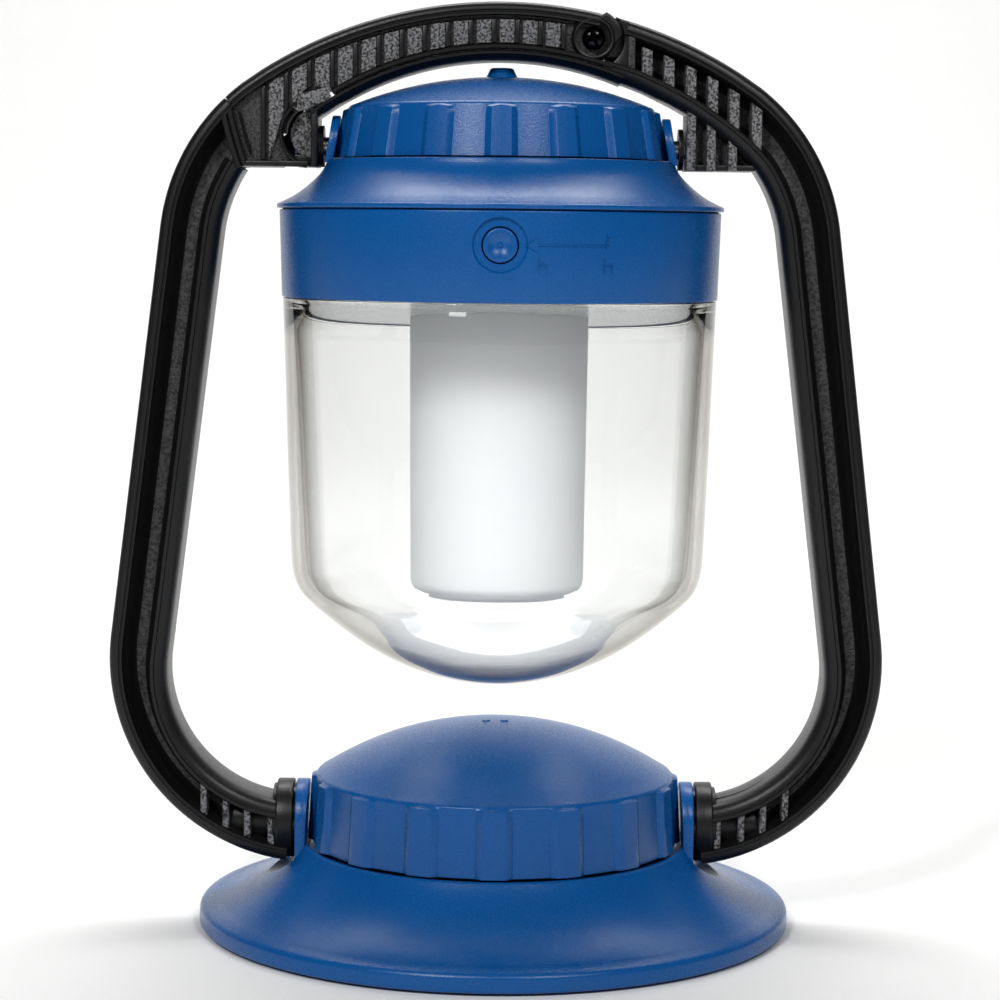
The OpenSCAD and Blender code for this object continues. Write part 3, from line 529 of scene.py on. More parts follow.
# heights and radii taken from the CAD frame
_, gateHigh = nodeSpan("gate")
_, rightHigh = nodeSpan("right_arm")
footLow, footHigh = nodeSpan("base_foot")
coverLow, coverHigh = nodeSpan("base_cover")
capLow, capHigh = nodeSpan("head_cap")
bellLow, bellHigh = nodeSpan("bell_housing")
collarLow, collarHigh = nodeSpan("collar_ring")
_, globeHigh = nodeSpan("globe")
diffuserLow, diffuserHigh = nodeSpan("diffuser")
buttonLow, buttonHigh = nodeSpan("power_button")
frameTop = gateHigh[2]
frameHalf = rightHigh[0]
pivotZ = joints["frame_swing"]["pos_m"][2] / mm
headZ = joints["head_tilt"]["pos_m"][2] / mm
gateX, _, gateZ = (v / mm for v in joints["gate_open"]["pos_m"])
screwC = (gateX, gateZ)


def smoothStep(t):
    t = max(0.0, min(1.0, t))
    return t * t * (3 - 2 * t)


def padAngles(pads, halfWidth, soft):
    # close together where a pad's side rises, wider apart on the flats
    offsets = (-1.25, -1.0, -0.75, -0.5, -0.25, 0.0, 0.3)
    angles = []
    for i in range(pads):
        middle = 360 * i / pads
        gap = 360 / pads - 2 * halfWidth
        angles += [middle - halfWidth + soft * o for o in offsets]
        angles += [middle + halfWidth * f for f in (-0.6, -0.3, 0, 0.3, 0.6)]
        angles += [middle + halfWidth - soft * o for o in reversed(offsets)]
        angles += [middle + halfWidth + gap * f for f in (0.3, 0.5, 0.7)]
    return angles


def padShift(ring):
    # how far a point of the ring stands out, with each pad's upper corners rounded
    step = 360 / ring["pads"]

    def shift(angle, radius, along):
        if along > ring["padTop"] or radius < ring["innerLimit"]:
            return 0
        away = abs((angle + step / 2) % step - step / 2)
        sideways = math.radians(step / 4 - away) * radius
        upwards = ring["padTop"] - along
        corner = ring["corner"]
        if sideways < corner and upwards < corner:
            inside = corner - math.hypot(corner - sideways, corner - upwards)
        else:
            inside = min(sideways, upwards)
        return ring["padDepth"] * smoothStep(inside / ring["soft"])

    return shift


def domePoints(radius, z, height, count=14):
    # arc from the rim up to the axis
    big = (radius * radius + height * height) / (2 * height)
    full = math.asin(radius / big)
    points = []
    for i in range(count):
        angle = full * (1 - i / count)
        points.append((big * math.sin(angle), z + height - big + big * math.cos(angle)))
    return points + [(0, z + height)]


def ringRows(r0, z0, r1, z1):
    # rows of the ring's face, closer together towards its top
    fractions = [0, 0.04, 0.25, 0.5, 0.7, 0.78, 0.82, 0.86, 0.89, 0.92, 0.945, 0.965, 0.985, 1.0]
    return [(r0 + (r1 - r0) * f, z0 + (z1 - z0) * f) for f in fractions]


def padRing(ring):
    # a castellated ring with a dome over it, open underneath
    low, top = ring["lowZ"], ring["padTop"]
    core = ringRows(ring["lowR"] - ring["padDepth"], low, ring["highR"] - ring["padDepth"], top)
    rimR = core[-1][0]
    edge = [(rimR - 0.15, top + 0.25), (rimR - 0.5, top + 0.6)]
    dome = domePoints(rimR - 0.9, top + 0.75, ring["top"] - top - 0.75)
    inner = [(r * 0.93, z - ring["wall"]) for r, z in reversed(dome)]
    profile = [(ring["openR"], low)] + core + edge + dome + inner + [(ring["openR"], low + 8)]
    part = newPart()
    soft = math.degrees(ring["soft"] / ring["lowR"])
    addTurned(part, profile, "blue", shift=padShift(ring),
              angles=padAngles(ring["pads"], 360 / ring["pads"] / 4, soft))
    return part


capRing = {"pads": 16, "lowR": 44.5, "highR": 42.0, "lowZ": capLow[2], "padTop": capLow[2] + 13.1,
           "padDepth": 1.3, "wall": 2.4, "top": capHigh[2] - 2.4, "openR": 38.0, "innerLimit": 38.5,
           "corner": 2.4, "soft": 0.55, "bossR": 4.2, "bossTopR": 3.0, "bossZ": capHigh[2]}
part = padRing(capRing)
bossZ = capRing["bossZ"]
boss = rounded([(capRing["bossR"] + 0.4, bossZ - 3.6), (capRing["bossR"], bossZ - 2.4, 0.3),
                (capRing["bossTopR"], bossZ, 0.8), (0, bossZ + 0.05)], closed=False)
addTurned(part, boss + [(0, bossZ - 3.6)], "blue", segments=48)
finishPart("capShell", part, "cap", ["head_cap"])

bell = {
    # a neck in the cap, a shoulder, then a hollow curve down to the lip; lugs stand on the shoulder
    "neckR": 36.4, "neckTop": headZ + 7, "wall": 2.2, "shoulderR": 46.6, "shoulderZ": 205.8,
    "side": [(46.6, 204.6), (47.2, 203.4), (48.3, 201.9), (50.1, 200.1), (52.3, 198.2), (54.8, 196.4),
             (57.2, 195.1), (58.7, 194.4)],
    "lipR": bellHigh[0], "lipTop": 194.0, "low": bellLow[2],
    "lugR": 7.4, "lugFoot": 205.0, "lugIn": 45.15, "lugOut": 47.35, "lugLean": 2.45 / 12.7}
neckR, neckTop, shoulderZ = bell["neckR"], bell["neckTop"], bell["shoulderZ"]
neckIn = neckR - bell["wall"]
profile = [(neckIn, neckTop), (neckR - 0.6, neckTop), (neckR, neckTop - 0.6), (neckR, shoulderZ)]
profile += rounded([(bell["shoulderR"] - 1, shoulderZ), (bell["shoulderR"] - 0.3, shoulderZ, 0.6),
                    bell["side"][0]], closed=False)
profile += smoothCurve(bell["side"])
profile += rounded([(59.0, bell["lipTop"] + 0.3), (bell["lipR"], bell["lipTop"], 0.4),
                    (bell["lipR"], bell["low"], 0.3), (bell["lipR"] - 5, bell["low"])], closed=False)
profile += [(54.0, 194.2), (50.0, 197.0), (47.5, 199.5), (44.0, 203.0), (neckIn, 203.4)]
part = newPart()
addTurned(part, profile, "blue", segments=192)
lugOutline = arcPoints((0, headZ + 0.8), bell["lugR"], 0, 180, 20)
lugOutline += [(-bell["lugR"], bell["lugFoot"]), (bell["lugR"], bell["lugFoot"])]
for side in (-1, 1):
    # the lug bends round the neck and leans in with it
    lug = newPart()
    addPrism(lug, lugOutline, bell["lugIn"], bell["lugOut"], "blue", edge=0.3, axis="x")
    leaned = []
    for x, y, z in lug["verts"]:
        bend = math.hypot(bell["lugIn"], y) - bell["lugIn"]
        leaned.append((side * (x - bend - bell["lugLean"] * (z - 204.8)), y, z))
    addSolid(part, leaned, lug["faces"], "blue")
finishPart("bellShell", part, "head", ["bell_housing"])

collar = {"topR": 58.9, "lowR": 58.2, "wall": 2.6, "buttonZ": (buttonLow[2] + buttonHigh[2]) / 2,
          "recessR": 7.0, "recessDepth": 0.75, "holeR": 4.7}
collarTop, collarFoot = collarHigh[2], collarLow[2]
buttonZ = collar["buttonZ"]
topR, lowR = collar["topR"], collar["lowR"]
profile = rounded([(topR - 6, collarTop), (topR, collarTop, 0.5), (lowR, collarFoot, 0.3),
                   (lowR - collar["wall"], collarFoot, 0.3), (topR - 2.7, collarTop - 2),
                   (topR - 6, collarTop - 2)])
part = newPart()
addTurned(part, profile, "blue", segments=192)
obj = finishPart("collarBand", part, "head", ["collar_ring"])
# shallow round recess with a hole for the button
face = buttonLow[1]
floorY = face + collar["recessDepth"]
recessR, holeR = collar["recessR"], collar["holeR"]
tool = newPart()
addTurned(tool, [(0, face - 6), (recessR + 0.4, face - 6), (recessR, face + 0.2), (recessR - 0.5, floorY),
                 (holeR, floorY), (holeR, face + 9), (0, face + 9)],
          "blue", segments=72, centre=(0, 0, buttonZ), axis="y")
cutWith(obj, tool)

# the button's guide behind that recess, then the marks beside it
part = newPart()
addTurned(part, rounded([(holeR + 2.5, face + 0.9), (holeR + 2.5, face + 6), (holeR, face + 6),
                         (holeR, face + 0.9, 0.3)]), "blue", segments=72, centre=(0, 0, buttonZ), axis="y")


def addStrip(part, x0, x1, z0, z1, rise=0.3):
    # a low raised line on the collar's face
    rings = []
    for i in range(13):
        x = x0 + (x1 - x0) * i / 12
        rows = []
        for up, z in ((-0.3, z0), (rise, z0 + 0.08), (rise, z1 - 0.08), (-0.3, z1)):
            radius = lowR + (topR - lowR) * (z - collarFoot) / (collarTop - collarFoot) + up
            rows.append((x, -math.sqrt(radius * radius - x * x), z))
        rings.append(rows)
    addRings(part, rings, "blue")


# a plain two-ended arrow with its two end marks, moulded low on the face
addStrip(part, 9.5, 26.5, buttonZ - 0.2, buttonZ + 0.2)
for k in range(5):
    addStrip(part, 6.4 + k * 0.62, 7.02 + k * 0.62, buttonZ - 0.2 - k * 0.4, buttonZ + 0.2 + k * 0.4)
for k in range(4):
    addStrip(part, 26.4 + k * 0.1, 26.9 + k * 0.1, buttonZ - 0.6 + k * 0.9, buttonZ + 0.2 + k * 0.9)
for x in (9.6, 26.0):
    addStrip(part, x, x + 0.35, buttonZ - 6.8, buttonZ - 3.2)
    addStrip(part, x, x + 2.2, buttonZ - 5.0, buttonZ - 4.6)
    addStrip(part, x + 1.85, x + 2.2, buttonZ - 6.8, buttonZ - 4.6)
finishPart("collarMarks", part, "head")

button = {"radius": 4.35, "dishR": 3.1, "dish": 1.0, "dotR": 0.7, "back": face + 5.6}
floorY = face + button["dish"]
part = newPart()
profile = [(0, floorY - 0.45), (button["dotR"] * 0.7, floorY - 0.4), (button["dotR"], floorY - 0.1)]
dishR, buttonR, buttonBack = button["dishR"], button["radius"], button["back"]
profile += [(r, face + button["dish"] * (1 - (r / dishR) ** 2)) for r in (0.85, 1.2, 1.7, 2.2, 2.6, 2.9)]
profile += rounded([(dishR, face), (buttonR, face, 0.5), (buttonR, buttonBack)], closed=False)
profile += [(0, buttonBack)]
addTurned(part, profile, "blue", segments=72, centre=(0, 0, buttonZ), axis="y")
finishPart("buttonCap", part, "button", ["power_button"])


def offsetLine(points, distance):
    # a line moved inwards, no further than the axis
    result = []
    last = len(points) - 1
    for i, here in enumerate(points):
        t = (Vector(points[min(last, i + 1)]) - Vector(points[max(0, i - 1)])).normalized()
        result.append((max(0.0, here[0] + t.y * distance), here[1] - t.x * distance))
    return result


globe = {
    # straight side, rounded step, cone and shallow dome, down to the axis
    "wall": 2.6, "footWall": 1.5, "rimR": 54.25, "rimTop": globeHigh[2], "shelf": 169.25,
    "side": [(58.0, 169.2), (57.3, 150), (56.7, 130), (56.1, 112), (55.6, 99.5), (54.9, 94.8), (53.3, 91.0),
             (50.3, 87.7), (45.5, 83.6), (40.5, 79.7), (35.5, 76.2), (29.5, 72.8), (22, 69.5), (14, 67.1),
             (7, 65.95), (0.0, 65.6)]}
outer = smoothCurve(globe["side"], steps=5)
inner = []
for a, b in zip(offsetLine(outer, globe["wall"]), offsetLine(outer, globe["footWall"])):
    # the wall thins below the straight side
    t = smoothStep((100 - b[1]) / 25)
    inner.append((a[0] + (b[0] - a[0]) * t, a[1] + (b[1] - a[1]) * t))
inner = [p for p in inner if p[1] < 165.5]
inner[-1] = (0, outer[-1][1] + globe["footWall"])
outer[-1] = (0, outer[-1][1])
rimR, rimTop, shelf = globe["rimR"], globe["rimTop"], globe["shelf"]
profile = [(rimR - 2.2, rimTop), (rimR, rimTop), (rimR, shelf)]
profile += rounded([(57.6, shelf), (58.0, shelf - 0.05, 0.2), (57.98, 168.0)], closed=False)
profile += outer[1:] + inner[::-1]
part = newPart()
addTurned(part, profile, "clear", segments=192)
finishPart("globeShell", part, "globe", ["globe"], sharp=40)

tube = {"radius": diffuserHigh[0], "taper": 0.7, "corner": 4.0, "wall": 1.5, "low": diffuserLow[2],
        "top": diffuserHigh[2]}
low, top, bore = tube["low"], tube["top"], tube["radius"] - tube["wall"]
profile = [(0, low)]
profile += rounded([(2, low), (tube["radius"] - tube["taper"], low, tube["corner"]), (tube["radius"], top)],
                   8, closed=False)[1:]
profile += [(bore, top)]
profile += rounded([(bore, top), (bore - tube["taper"], low + tube["wall"], 2.5), (2, low + tube["wall"])],
                   6, closed=False)[1:]
profile += [(0, low + tube["wall"])]
part = newPart()
addTurned(part, profile, "frosted", segments=128)
finishPart("diffuserTube", part, "head", ["diffuser"])
print("head built")

foot = {
    # a flared skirt up to the lip round the cover, and a lug at each side in its own valley
    "radius": footHigh[0], "low": footLow[2], "rim": 4.4, "lip": (52.3, 21.6), "lipTop": 22.0, "flareR": 38.0,
    "valleyR": 15.0, "storeR": 43.5, "storeTop": 33.4, "floor": 8.2,
    "lugIn": 51.1, "lugOut": 53.8, "lugR": 10.7}
crease = Vector((foot["radius"] - 4.5, 6.6))
lip = Vector(foot["lip"])
chord = lip - crease
normal = Vector((chord.y, -chord.x)).normalized()
centre = (crease + lip) / 2 + normal * math.sqrt(foot["flareR"] ** 2 - chord.length_squared / 4)
start = math.atan2(crease.y - centre.y, crease.x - centre.x)
end = math.atan2(lip.y - centre.y, lip.x - centre.x)
flare = arcPoints(centre, foot["flareR"], math.degrees(start), math.degrees(end), 24)
skirtR, lipTop, storeR = foot["radius"], foot["lipTop"], foot["storeR"]
profile = rounded([(skirtR - 3.2, foot["rim"]), (skirtR - 3.2, foot["low"], 0.2), (skirtR, foot["low"], 0.8),
                   (skirtR - 0.2, 5.5, 1.8), (skirtR - 3.6, 6.6)], 6, closed=False)[:-1]
profile += [(skirtR - 3.6, 6.55)] + flare[:-1]
profile += rounded([flare[-2], (52.3, lipTop - 0.3, 0.3), (51.9, lipTop, 0.3), (50.7, lipTop, 0.3),
                    (50.1, 20.8)], closed=False)[1:]
profile += [(storeR + 2.2, 20.8), (storeR + 2.2, foot["storeTop"]), (storeR, foot["storeTop"]),
            (storeR, foot["floor"]), (0, foot["floor"]), (0, foot["rim"])]
part = newPart()
addTurned(part, profile, "blue", segments=192)
obj = finishPart("footShell", part, "base", ["base_foot"])
for side in (-1, 1):
    # the valley that the arm's collar turns in
    tool = newPart()
    ends = (side * foot["lugOut"], side * (skirtR + 5))
    addTurned(tool, [(0, ends[0]), (foot["valleyR"], ends[0]), (foot["valleyR"], ends[1]), (0, ends[1])],
              "blue", segments=96, centre=(0, 0, pivotZ), axis="x")
    cutWith(obj, tool)
part = newPart()
lugOutline = arcPoints((0, pivotZ), foot["lugR"], 0, 180, 28) + [(-foot["lugR"], 14), (foot["lugR"], 14)]
for side in (-1, 1):
    x0, x1 = sorted((side * foot["lugIn"], side * foot["lugOut"]))
    addPrism(part, lugOutline, x0, x1, "blue", edge=0.35, axis="x")
# the lugs' inner faces lean in with the cover's ring
part["verts"] = [(x - math.copysign(max(0, z - 22) / 19, x), y, z) if abs(x) < 52 else (x, y, z)
                 for x, y, z in part["verts"]]
finishPart("footLugs", part, "base")

coverRing = {"pads": 16, "lowR": 50.7, "highR": 49.7, "lowZ": coverLow[2], "padTop": coverLow[2] + 17.9,
             "padDepth": 1.3, "wall": 2.4, "top": coverHigh[2], "openR": 47.2, "innerLimit": 47.3,
             "corner": 2.6, "soft": 0.6, "pipR": 1.3}
part = padRing(coverRing)
finishPart("coverShell", part, "foot_cover", ["base_cover"])
part = newPart()
crown, pipR = coverRing["top"], coverRing["pipR"]
pip = rounded([(pipR, crown - 0.6), (pipR - 0.2, crown + 0.22, 0.4), (0, crown + 0.3)], closed=False)
for x in (-2.4, 2.4):
    # two low pips on the dome's crown
    addTurned(part, pip + [(0, crown - 0.6)], "blue", segments=32, centre=(x, -2.0, 0))
finishPart("coverPips", part, "foot_cover")
print("foot built")

arms = {
    # arcs of the outer and the inner edge, and the lean of the legs in degrees
    "topR": 118.15, "shoulderR": 55.6, "shoulderC": (34.9, 181.16), "shoulderInR": 39.5, "elbowR": 55.2,
    "elbowInR": 35.3, "elbowInC": (53.1, 68.6), "lean": 7.2, "web": 2.0, "face": 9.9,
    "blockIn": 48.9, "blockRibY": 9.0}
topR, topC = arms["topR"], (0, frameTop - arms["topR"])
shoulderR, shoulderC = arms["shoulderR"], arms["shoulderC"]
elbowR, elbowInR, elbowInC = arms["elbowR"], arms["elbowInR"], arms["elbowInC"]
elbowC = (frameHalf - elbowR, pivotZ - foot["lugR"] + elbowR)
face, web, lean = arms["face"], arms["web"], arms["lean"]
blockZ = frameTop - 43.7
bandC = (0, frameTop - 15.3 - 83)


def legLine(upper, centre, radius):
    # the straight leg, from the shoulder's end down to the elbow's start
    angle = math.radians(lean)
    lower = (centre[0] + radius * math.cos(angle), centre[1] + radius * math.sin(angle))
    return resample([upper, lower], 10)[1:]


# outer edge from the gate's screw down to the right collar, and the inner edge beside it
outerRight = arcPoints(topC, topR, 73.6, 57.5, 14) + arcPoints(shoulderC, shoulderR, 53.0, lean, 24)
outerRight += legLine(outerRight[-1], elbowC, elbowR) + arcPoints(elbowC, elbowR, 6.0, -82.0, 46)
legInner = arcPoints(shoulderC, arms["shoulderInR"], 34.8, lean, 12)
legInner += legLine(legInner[-1], elbowInC, elbowInR) + arcPoints(elbowInC, elbowInR, 5.0, -86.0, 40)
blockCurve = [(26.0, 227.9), (33.0, 225.9), (40.0, 223.0), (49.5, 218.0), (58.5, 211.8), (63.6, 207.6)]
innerRight = smoothCurve(blockCurve, 5) + legInner


def mirrored(points):
    # the same line on the left
    return [(-x, z) for x, z in points]


def heightAt(points, x, lowest=-1e9):
    # height of a line over x
    for a, b in zip(points, points[1:]):
        if min(a[0], b[0]) <= x <= max(a[0], b[0]) and abs(a[0] - b[0]) > 1e-9 and min(a[1], b[1]) > lowest:
            return a[1] + (b[1] - a[1]) * (x - a[0]) / (b[0] - a[0])
    return points[0][1]


def bothFaces(half):
    # front half of a flange's section carried over to the back
    return half + [(n, -y) for n, y in reversed(half)]


flange = {
    # sections as (inwards, y): a rounded dark shoulder, a thin rim, then the fall to the web
    "outer": [(0, -7.4), (0.25, -8.8), (0.8, -9.55), (1.7, -9.95), (2.5, -10), (2.75, -9.75), (2.9, -9.75),
              (3.1, -10), (3.55, -9.95), (3.75, -9.6), (4.3, -6), (4.9, -3.7), (5.7, -2.5), (6.8, -1.9)],
    "band": [(0, -5.2), (0.2, -6.9), (0.6, -8.2), (1.1, -9.0), (1.6, -9.35), (1.7, -9.95), (2.3, -9.95),
             (2.5, -9.6)],
    "gate": [(0, -7.4), (0.25, -8.8), (0.8, -9.55), (1.7, -9.95), (2.1, -9.95), (2.35, -9.6), (2.6, -9.6),
             (2.85, -9.95), (3.35, -9.85), (3.5, -9.4), (3.55, -7.0)],
    "inner": [(0, -5.2), (0.2, -6.9), (0.8, -8.2), (1.7, -9.0), (2.9, -9.35), (3.3, -9.4), (3.5, -9.95),
              (3.75, -10), (4.3, -10), (4.55, -9.7), (4.9, -5), (5.6, -2.6), (6.6, -1.9)]}
outerSection = bothFaces(flange["outer"])
innerSection = bothFaces(flange["inner"])


def wall(part, points, y0, y1, thickness, side=1):
    # a plain flange of even thickness with broken edges
    e = 0.3
    section = [(0, y0 + e), (e, y0), (thickness - e, y0), (thickness, y0 + e),
               (thickness, y1 - e), (thickness - e, y1), (e, y1), (0, y1 - e)]
    addSwept(part, points, section, "smooth", side)


def rib(part, x, low, high, front, finish="coarse"):
    # an upright rib through the web; low and high are its heights at both values of x
    outline = [(x[0], low[0]), (x[1], low[1]), (x[1], high[1]), (x[0], high[0])]
    addPrism(part, outline, -front, front, finish, edge=0.45)


def aboutScrew(part, profile, finish, segments):
    addTurned(part, profile, finish, segments=segments, centre=(gateX, 0, gateZ), axis="y")


def ladder(part, side):
    # short upright ribs in the elbow, beside the pivot's boss
    for middle in (60.3, 66.7, 72.5, 78.4):
        x = (middle - 0.9, middle + 0.9)
        low = [elbowC[1] - math.sqrt(elbowR ** 2 - (at - elbowC[0]) ** 2) + 2.6 for at in x]
        high = [elbowInC[1] - math.sqrt(elbowInR ** 2 - (at - elbowInC[0]) ** 2) - 2.8 for at in x]
        if side < 0:
            x, low, high = (-x[1], -x[0]), low[::-1], high[::-1]
        rib(part, x, low, high, 8.9)


collarSteps = {
    # (radius, distance from the lamp's axis, rounding) of the stepped collar, and of the boss for the pin
    "collar": [(3.05, 54.45), (10.7, 54.45, 0.4), (10.7, 59.0, 0.5), (9.4, 59.0, 0.3), (9.4, 60.0, 0.3),
               (3.05, 60.0)],
    "boss": [(0, 58.6), (6.2, 58.6), (6.2, 72.5, 1.2), (0, 72.5)]}


def collarEnd(part, side):
    # the arm's end at the foot's pivot
    for section, segments in (("collar", 96), ("boss", 64)):
        profile = [(r, side * x) for r, x in rounded(collarSteps[section])]
        addTurned(part, profile, "smooth", segments=segments, centre=(0, 0, pivotZ), axis="x")


# left arm: its upper end is an arc about the gate's screw
leftCut = 98.5
outerLeft = clipped(mirrored(outerRight), screwC, leftCut)
innerLeft = clipped(mirrored(legInner), screwC, leftCut)
part = newPart()
addSwept(part, outerLeft, outerSection, "smooth", side=1)
addSwept(part, innerLeft, innerSection, "smooth", side=-1)
addRuled(part, resample([(x + 0.8, z) for x, z in outerLeft], 80),
         resample([(x - 0.8, z) for x, z in innerLeft], 80), -web, web, "grain", 80)
wall(part, arcPoints(screwC, leftCut, 191.4, 200.4, 10), -face, face, 1.6, side=-1)
ladder(part, -1)
collarEnd(part, -1)
finishPart("leftArmShell", part, "frame", ["left_arm"])

# right arm, with the band under the gate and the block beside the head
ribY, blockIn = arms["blockRibY"], arms["blockIn"]
part = newPart()
addSwept(part, outerRight, outerSection, "smooth", side=-1)
addSwept(part, innerRight, innerSection, "smooth", side=1)
addRuled(part, [(x - 0.6, z - 0.6) for x, z in outerRight], [(x + 0.6, z + 0.4) for x, z in innerRight],
         -web, web, "grain", 90)
ladder(part, 1)
collarEnd(part, 1)
for middle in (38.2, 44.0, 49.8, 55.6, 61.3, 67.3):
    x = (middle - 1.4, middle + 1.4)
    rib(part, x, [heightAt(innerRight, at, 195) + 4.2 for at in x],
        [heightAt(outerRight, at, 195) - 5.6 for at in x], ribY)
# root of the arm at the screw: a plain upright plate with a chamfered rib and a small gusset
root = arcPoints(screwC, 8.1, -62, 44, 20) + [(31.0, 243.15), (33.8, 242.35), (33.8, 229.2)]
gusset = [(26.4, 229.0), (33.4, 227.2), (33.4, 236.5), (32.2, 234.2), (29.8, 231.2)]
rootRib = [(33.0, 229.2), (35.0, 228.6), (35.0, 240.4), (34.0, 241.6), (33.0, 241.9)]
for outline, front, finish, edge in ((root, 8.6, "smooth", 0.3), (gusset, 8.2, "grain", 0.5),
                                     (rootRib, 9.4, "grain", 0.6)):
    addPrism(part, outline, -front, front, finish, edge=edge)
# tongue that the gate turns on
tongueY = 5.9
aboutScrew(part, rounded([(1.55, -tongueY), (5.9, -tongueY, 0.3), (5.9, tongueY, 0.3), (1.55, tongueY)]),
           "smooth", 64)
addPrism(part, [(gateX, 233.1), (33.5, 233.1), (33.5, 241.9), (gateX, 241.9)], -tongueY, tongueY,
         "smooth", edge=0.3)
# thin band under the gate, out to the catch
addSwept(part, arcPoints(bandC, 83.0, 68.0, 126.0, 60), bothFaces(flange["band"]), "smooth", side=-1)
# block with its open ribs, and the catch plate on the other side
for x in ((blockIn, 51.3), (54.2, 56.6), (59.9, 62.2)):
    rib(part, x, [blockZ, blockZ], [heightAt(innerRight, at, 195) + 1.0 for at in x], ribY)
addRuled(part, [(49.4, blockZ + 0.3), (66.0, blockZ + 0.3)], [(49.4, 219.2), (62.6, 210.0)],
         -3.2, 3.2, "grain", 12)
addBlock(part, (48.95, 67.2), (-7.5, ribY), (blockZ, blockZ + 1.6), "smooth")
addBlock(part, (-50.2, -48.45), (-9.6, 9.6), (blockZ, 219.0), "smooth")

catch = {
    # boss that the gate's notch closes on, with its grained front in painted glints, and the thumb tab over it
    "centre": (-49.4, 212.4), "frontR": 6.6, "rearR": 7.9, "rearLowR": 8.8,
    "latch": [(-52.4, 207.0), (-50.2, 205.6), (-50.0, 216.2), (-51.8, 217.2), (-51.2, 212.6)],
    "tab": [(-52.3, 218.0), (-46.2, 220.9), (-45.8, 223.8), (-52.0, 221.6)],
    "lip": [(-53.6, 217.9), (-45.6, 221.2), (-44.6, 224.9), (-53.4, 222.6)]}
catchC = catch["centre"]
addPrism(part, arcPoints(catchC, catch["frontR"], 96.0, 264.0, 32), -3.9, face, "coarse", edge=0.5)
bossRear = arcPoints(catchC, catch["rearR"], 118.0, 178.0, 18)
bossRear += arcPoints(catchC, catch["rearLowR"], 182.0, 250.0, 22)
addPrism(part, bossRear, 3.0, face, "smooth", edge=0.3)
addBlock(part, (-54.6, -50.0), (-3.8, 9.6), (blockZ + 0.1, 207.0), "smooth")
addPrism(part, catch["latch"], -4.6, 3.0, "coarse", edge=0.4)
addPrism(part, rounded([(x, z, 0.5) for x, z in catch["tab"]], 3), -face, face, "coarse", edge=0.5)
# the tab's front lip lies over the gate's edge
addPrism(part, rounded([(x, z, 0.4) for x, z in catch["lip"]], 3), -9.95, -9.1, "coarse", edge=0.2)
finishPart("rightArmShell", part, "frame", ["right_arm"])

gate = {
    # flanges round its edge, and bays with a grained pad whose grey specks are painted glints, a smoother rib and
    # a narrow dark slit
    "pitch": 6.06, "ribFirst": -68.3, "padY": 8.4, "ribY": 8.9, "floorY": 7.2, "skinY": 4.5,
    "endR": 98.33, "notchR": 8.2, "bandR": 85.9, "mouth": [(-53.2, 222.2), (-45.4, 224.7)], "open": -58.4}
endR, notchR, bandR = gate["endR"], gate["notchR"], gate["bandR"]
skinY, floorY = gate["skinY"], gate["floorY"]
gateTop = arcPoints(topC, topR, 77.2, 122.5, 40) + mirrored(arcPoints(shoulderC, shoulderR, 53.0, 38.0, 8))
gateTop = clipped(gateTop, screwC, -endR)
gateEnd = arcPoints(screwC, endR, 191.5, 200.5, 14)
under = arcPoints(bandC, bandR, 121.6, 73.0, 44)
outline = gateTop + gateEnd + [(-67.4, blockZ), (-52.3, blockZ)] + arcPoints(catchC, notchR, 250, 130, 30)
outline += gate["mouth"] + under
# behind its front skin the gate is open under the notch, so that it lifts off the catch
gateRear = gateTop + gateEnd + [(-67.4, blockZ), (gate["open"], blockZ), (gate["open"], catchC[1])]
gateRear += arcPoints(catchC, notchR, 179, 130, 18) + gate["mouth"] + under
part = newPart()
addPrism(part, insetOutline(outline, 0.5), -floorY, -skinY, "grain", edge=0.2)
addPrism(part, insetOutline(gateRear, 0.5), -skinY - 0.1, floorY, "grain", edge=0.2)
addSwept(part, gateTop, bothFaces(flange["gate"]), "smooth", side=1)
wall(part, gateEnd, -face, face, 1.5, side=1)
wall(part, arcPoints(screwC, 95.6, 192.2, 199.0, 14), -9.0, 9.0, 0.7, side=1)
wall(part, arcPoints(catchC, notchR, 178, 128, 20), -9.6, 9.6, 1.1, side=1)
wall(part, arcPoints(catchC, notchR, 258, 176, 26), -9.6, -skinY, 1.1, side=1)
wall(part, arcPoints(bandC, bandR, 120.8, 70.5, 50), -9.8, 9.8, 1.3, side=1)
addBlock(part, (-67.6, -58.3), (-9.8, 9.8), (blockZ, blockZ + 1.5), "smooth")
addBlock(part, (-58.6, -50.8), (-9.8, -skinY), (blockZ, blockZ + 1.5), "smooth")


def bayHeights(x):
    # lowest and highest point of a bay at x: over the foot, the notch, the tab's mouth or the band
    low = heightAt(under, x) + 1.6 if x > -45.4 else blockZ + 1.7
    if x < -45.4 and abs(x - catchC[0]) < notchR + 1.2:
        low = catchC[1] + math.sqrt(max(0, (notchR + 1.2) ** 2 - (x - catchC[0]) ** 2))
        if x > -54:
            low = max(low, 223.6 + (x + 53.2) * 0.32)
    return low, heightAt(gateTop, x, 200) - 4.6


for i in range(14):
    x = gate["ribFirst"] + i * gate["pitch"]
    bay = ((x + 0.9, x + 4.9, gate["padY"], "coarse"), (x + 4.9, x + 6.2, gate["ribY"], "smooth"))
    for x0, x1, front, finish in bay:
        if x0 < -66.4:
            continue
        lows, highs = zip(bayHeights(x0), bayHeights(x1))
        if lows[0] < highs[0] - 1 and lows[1] < highs[1] - 1:
            rib(part, (x0, x1), lows, highs, front, finish)
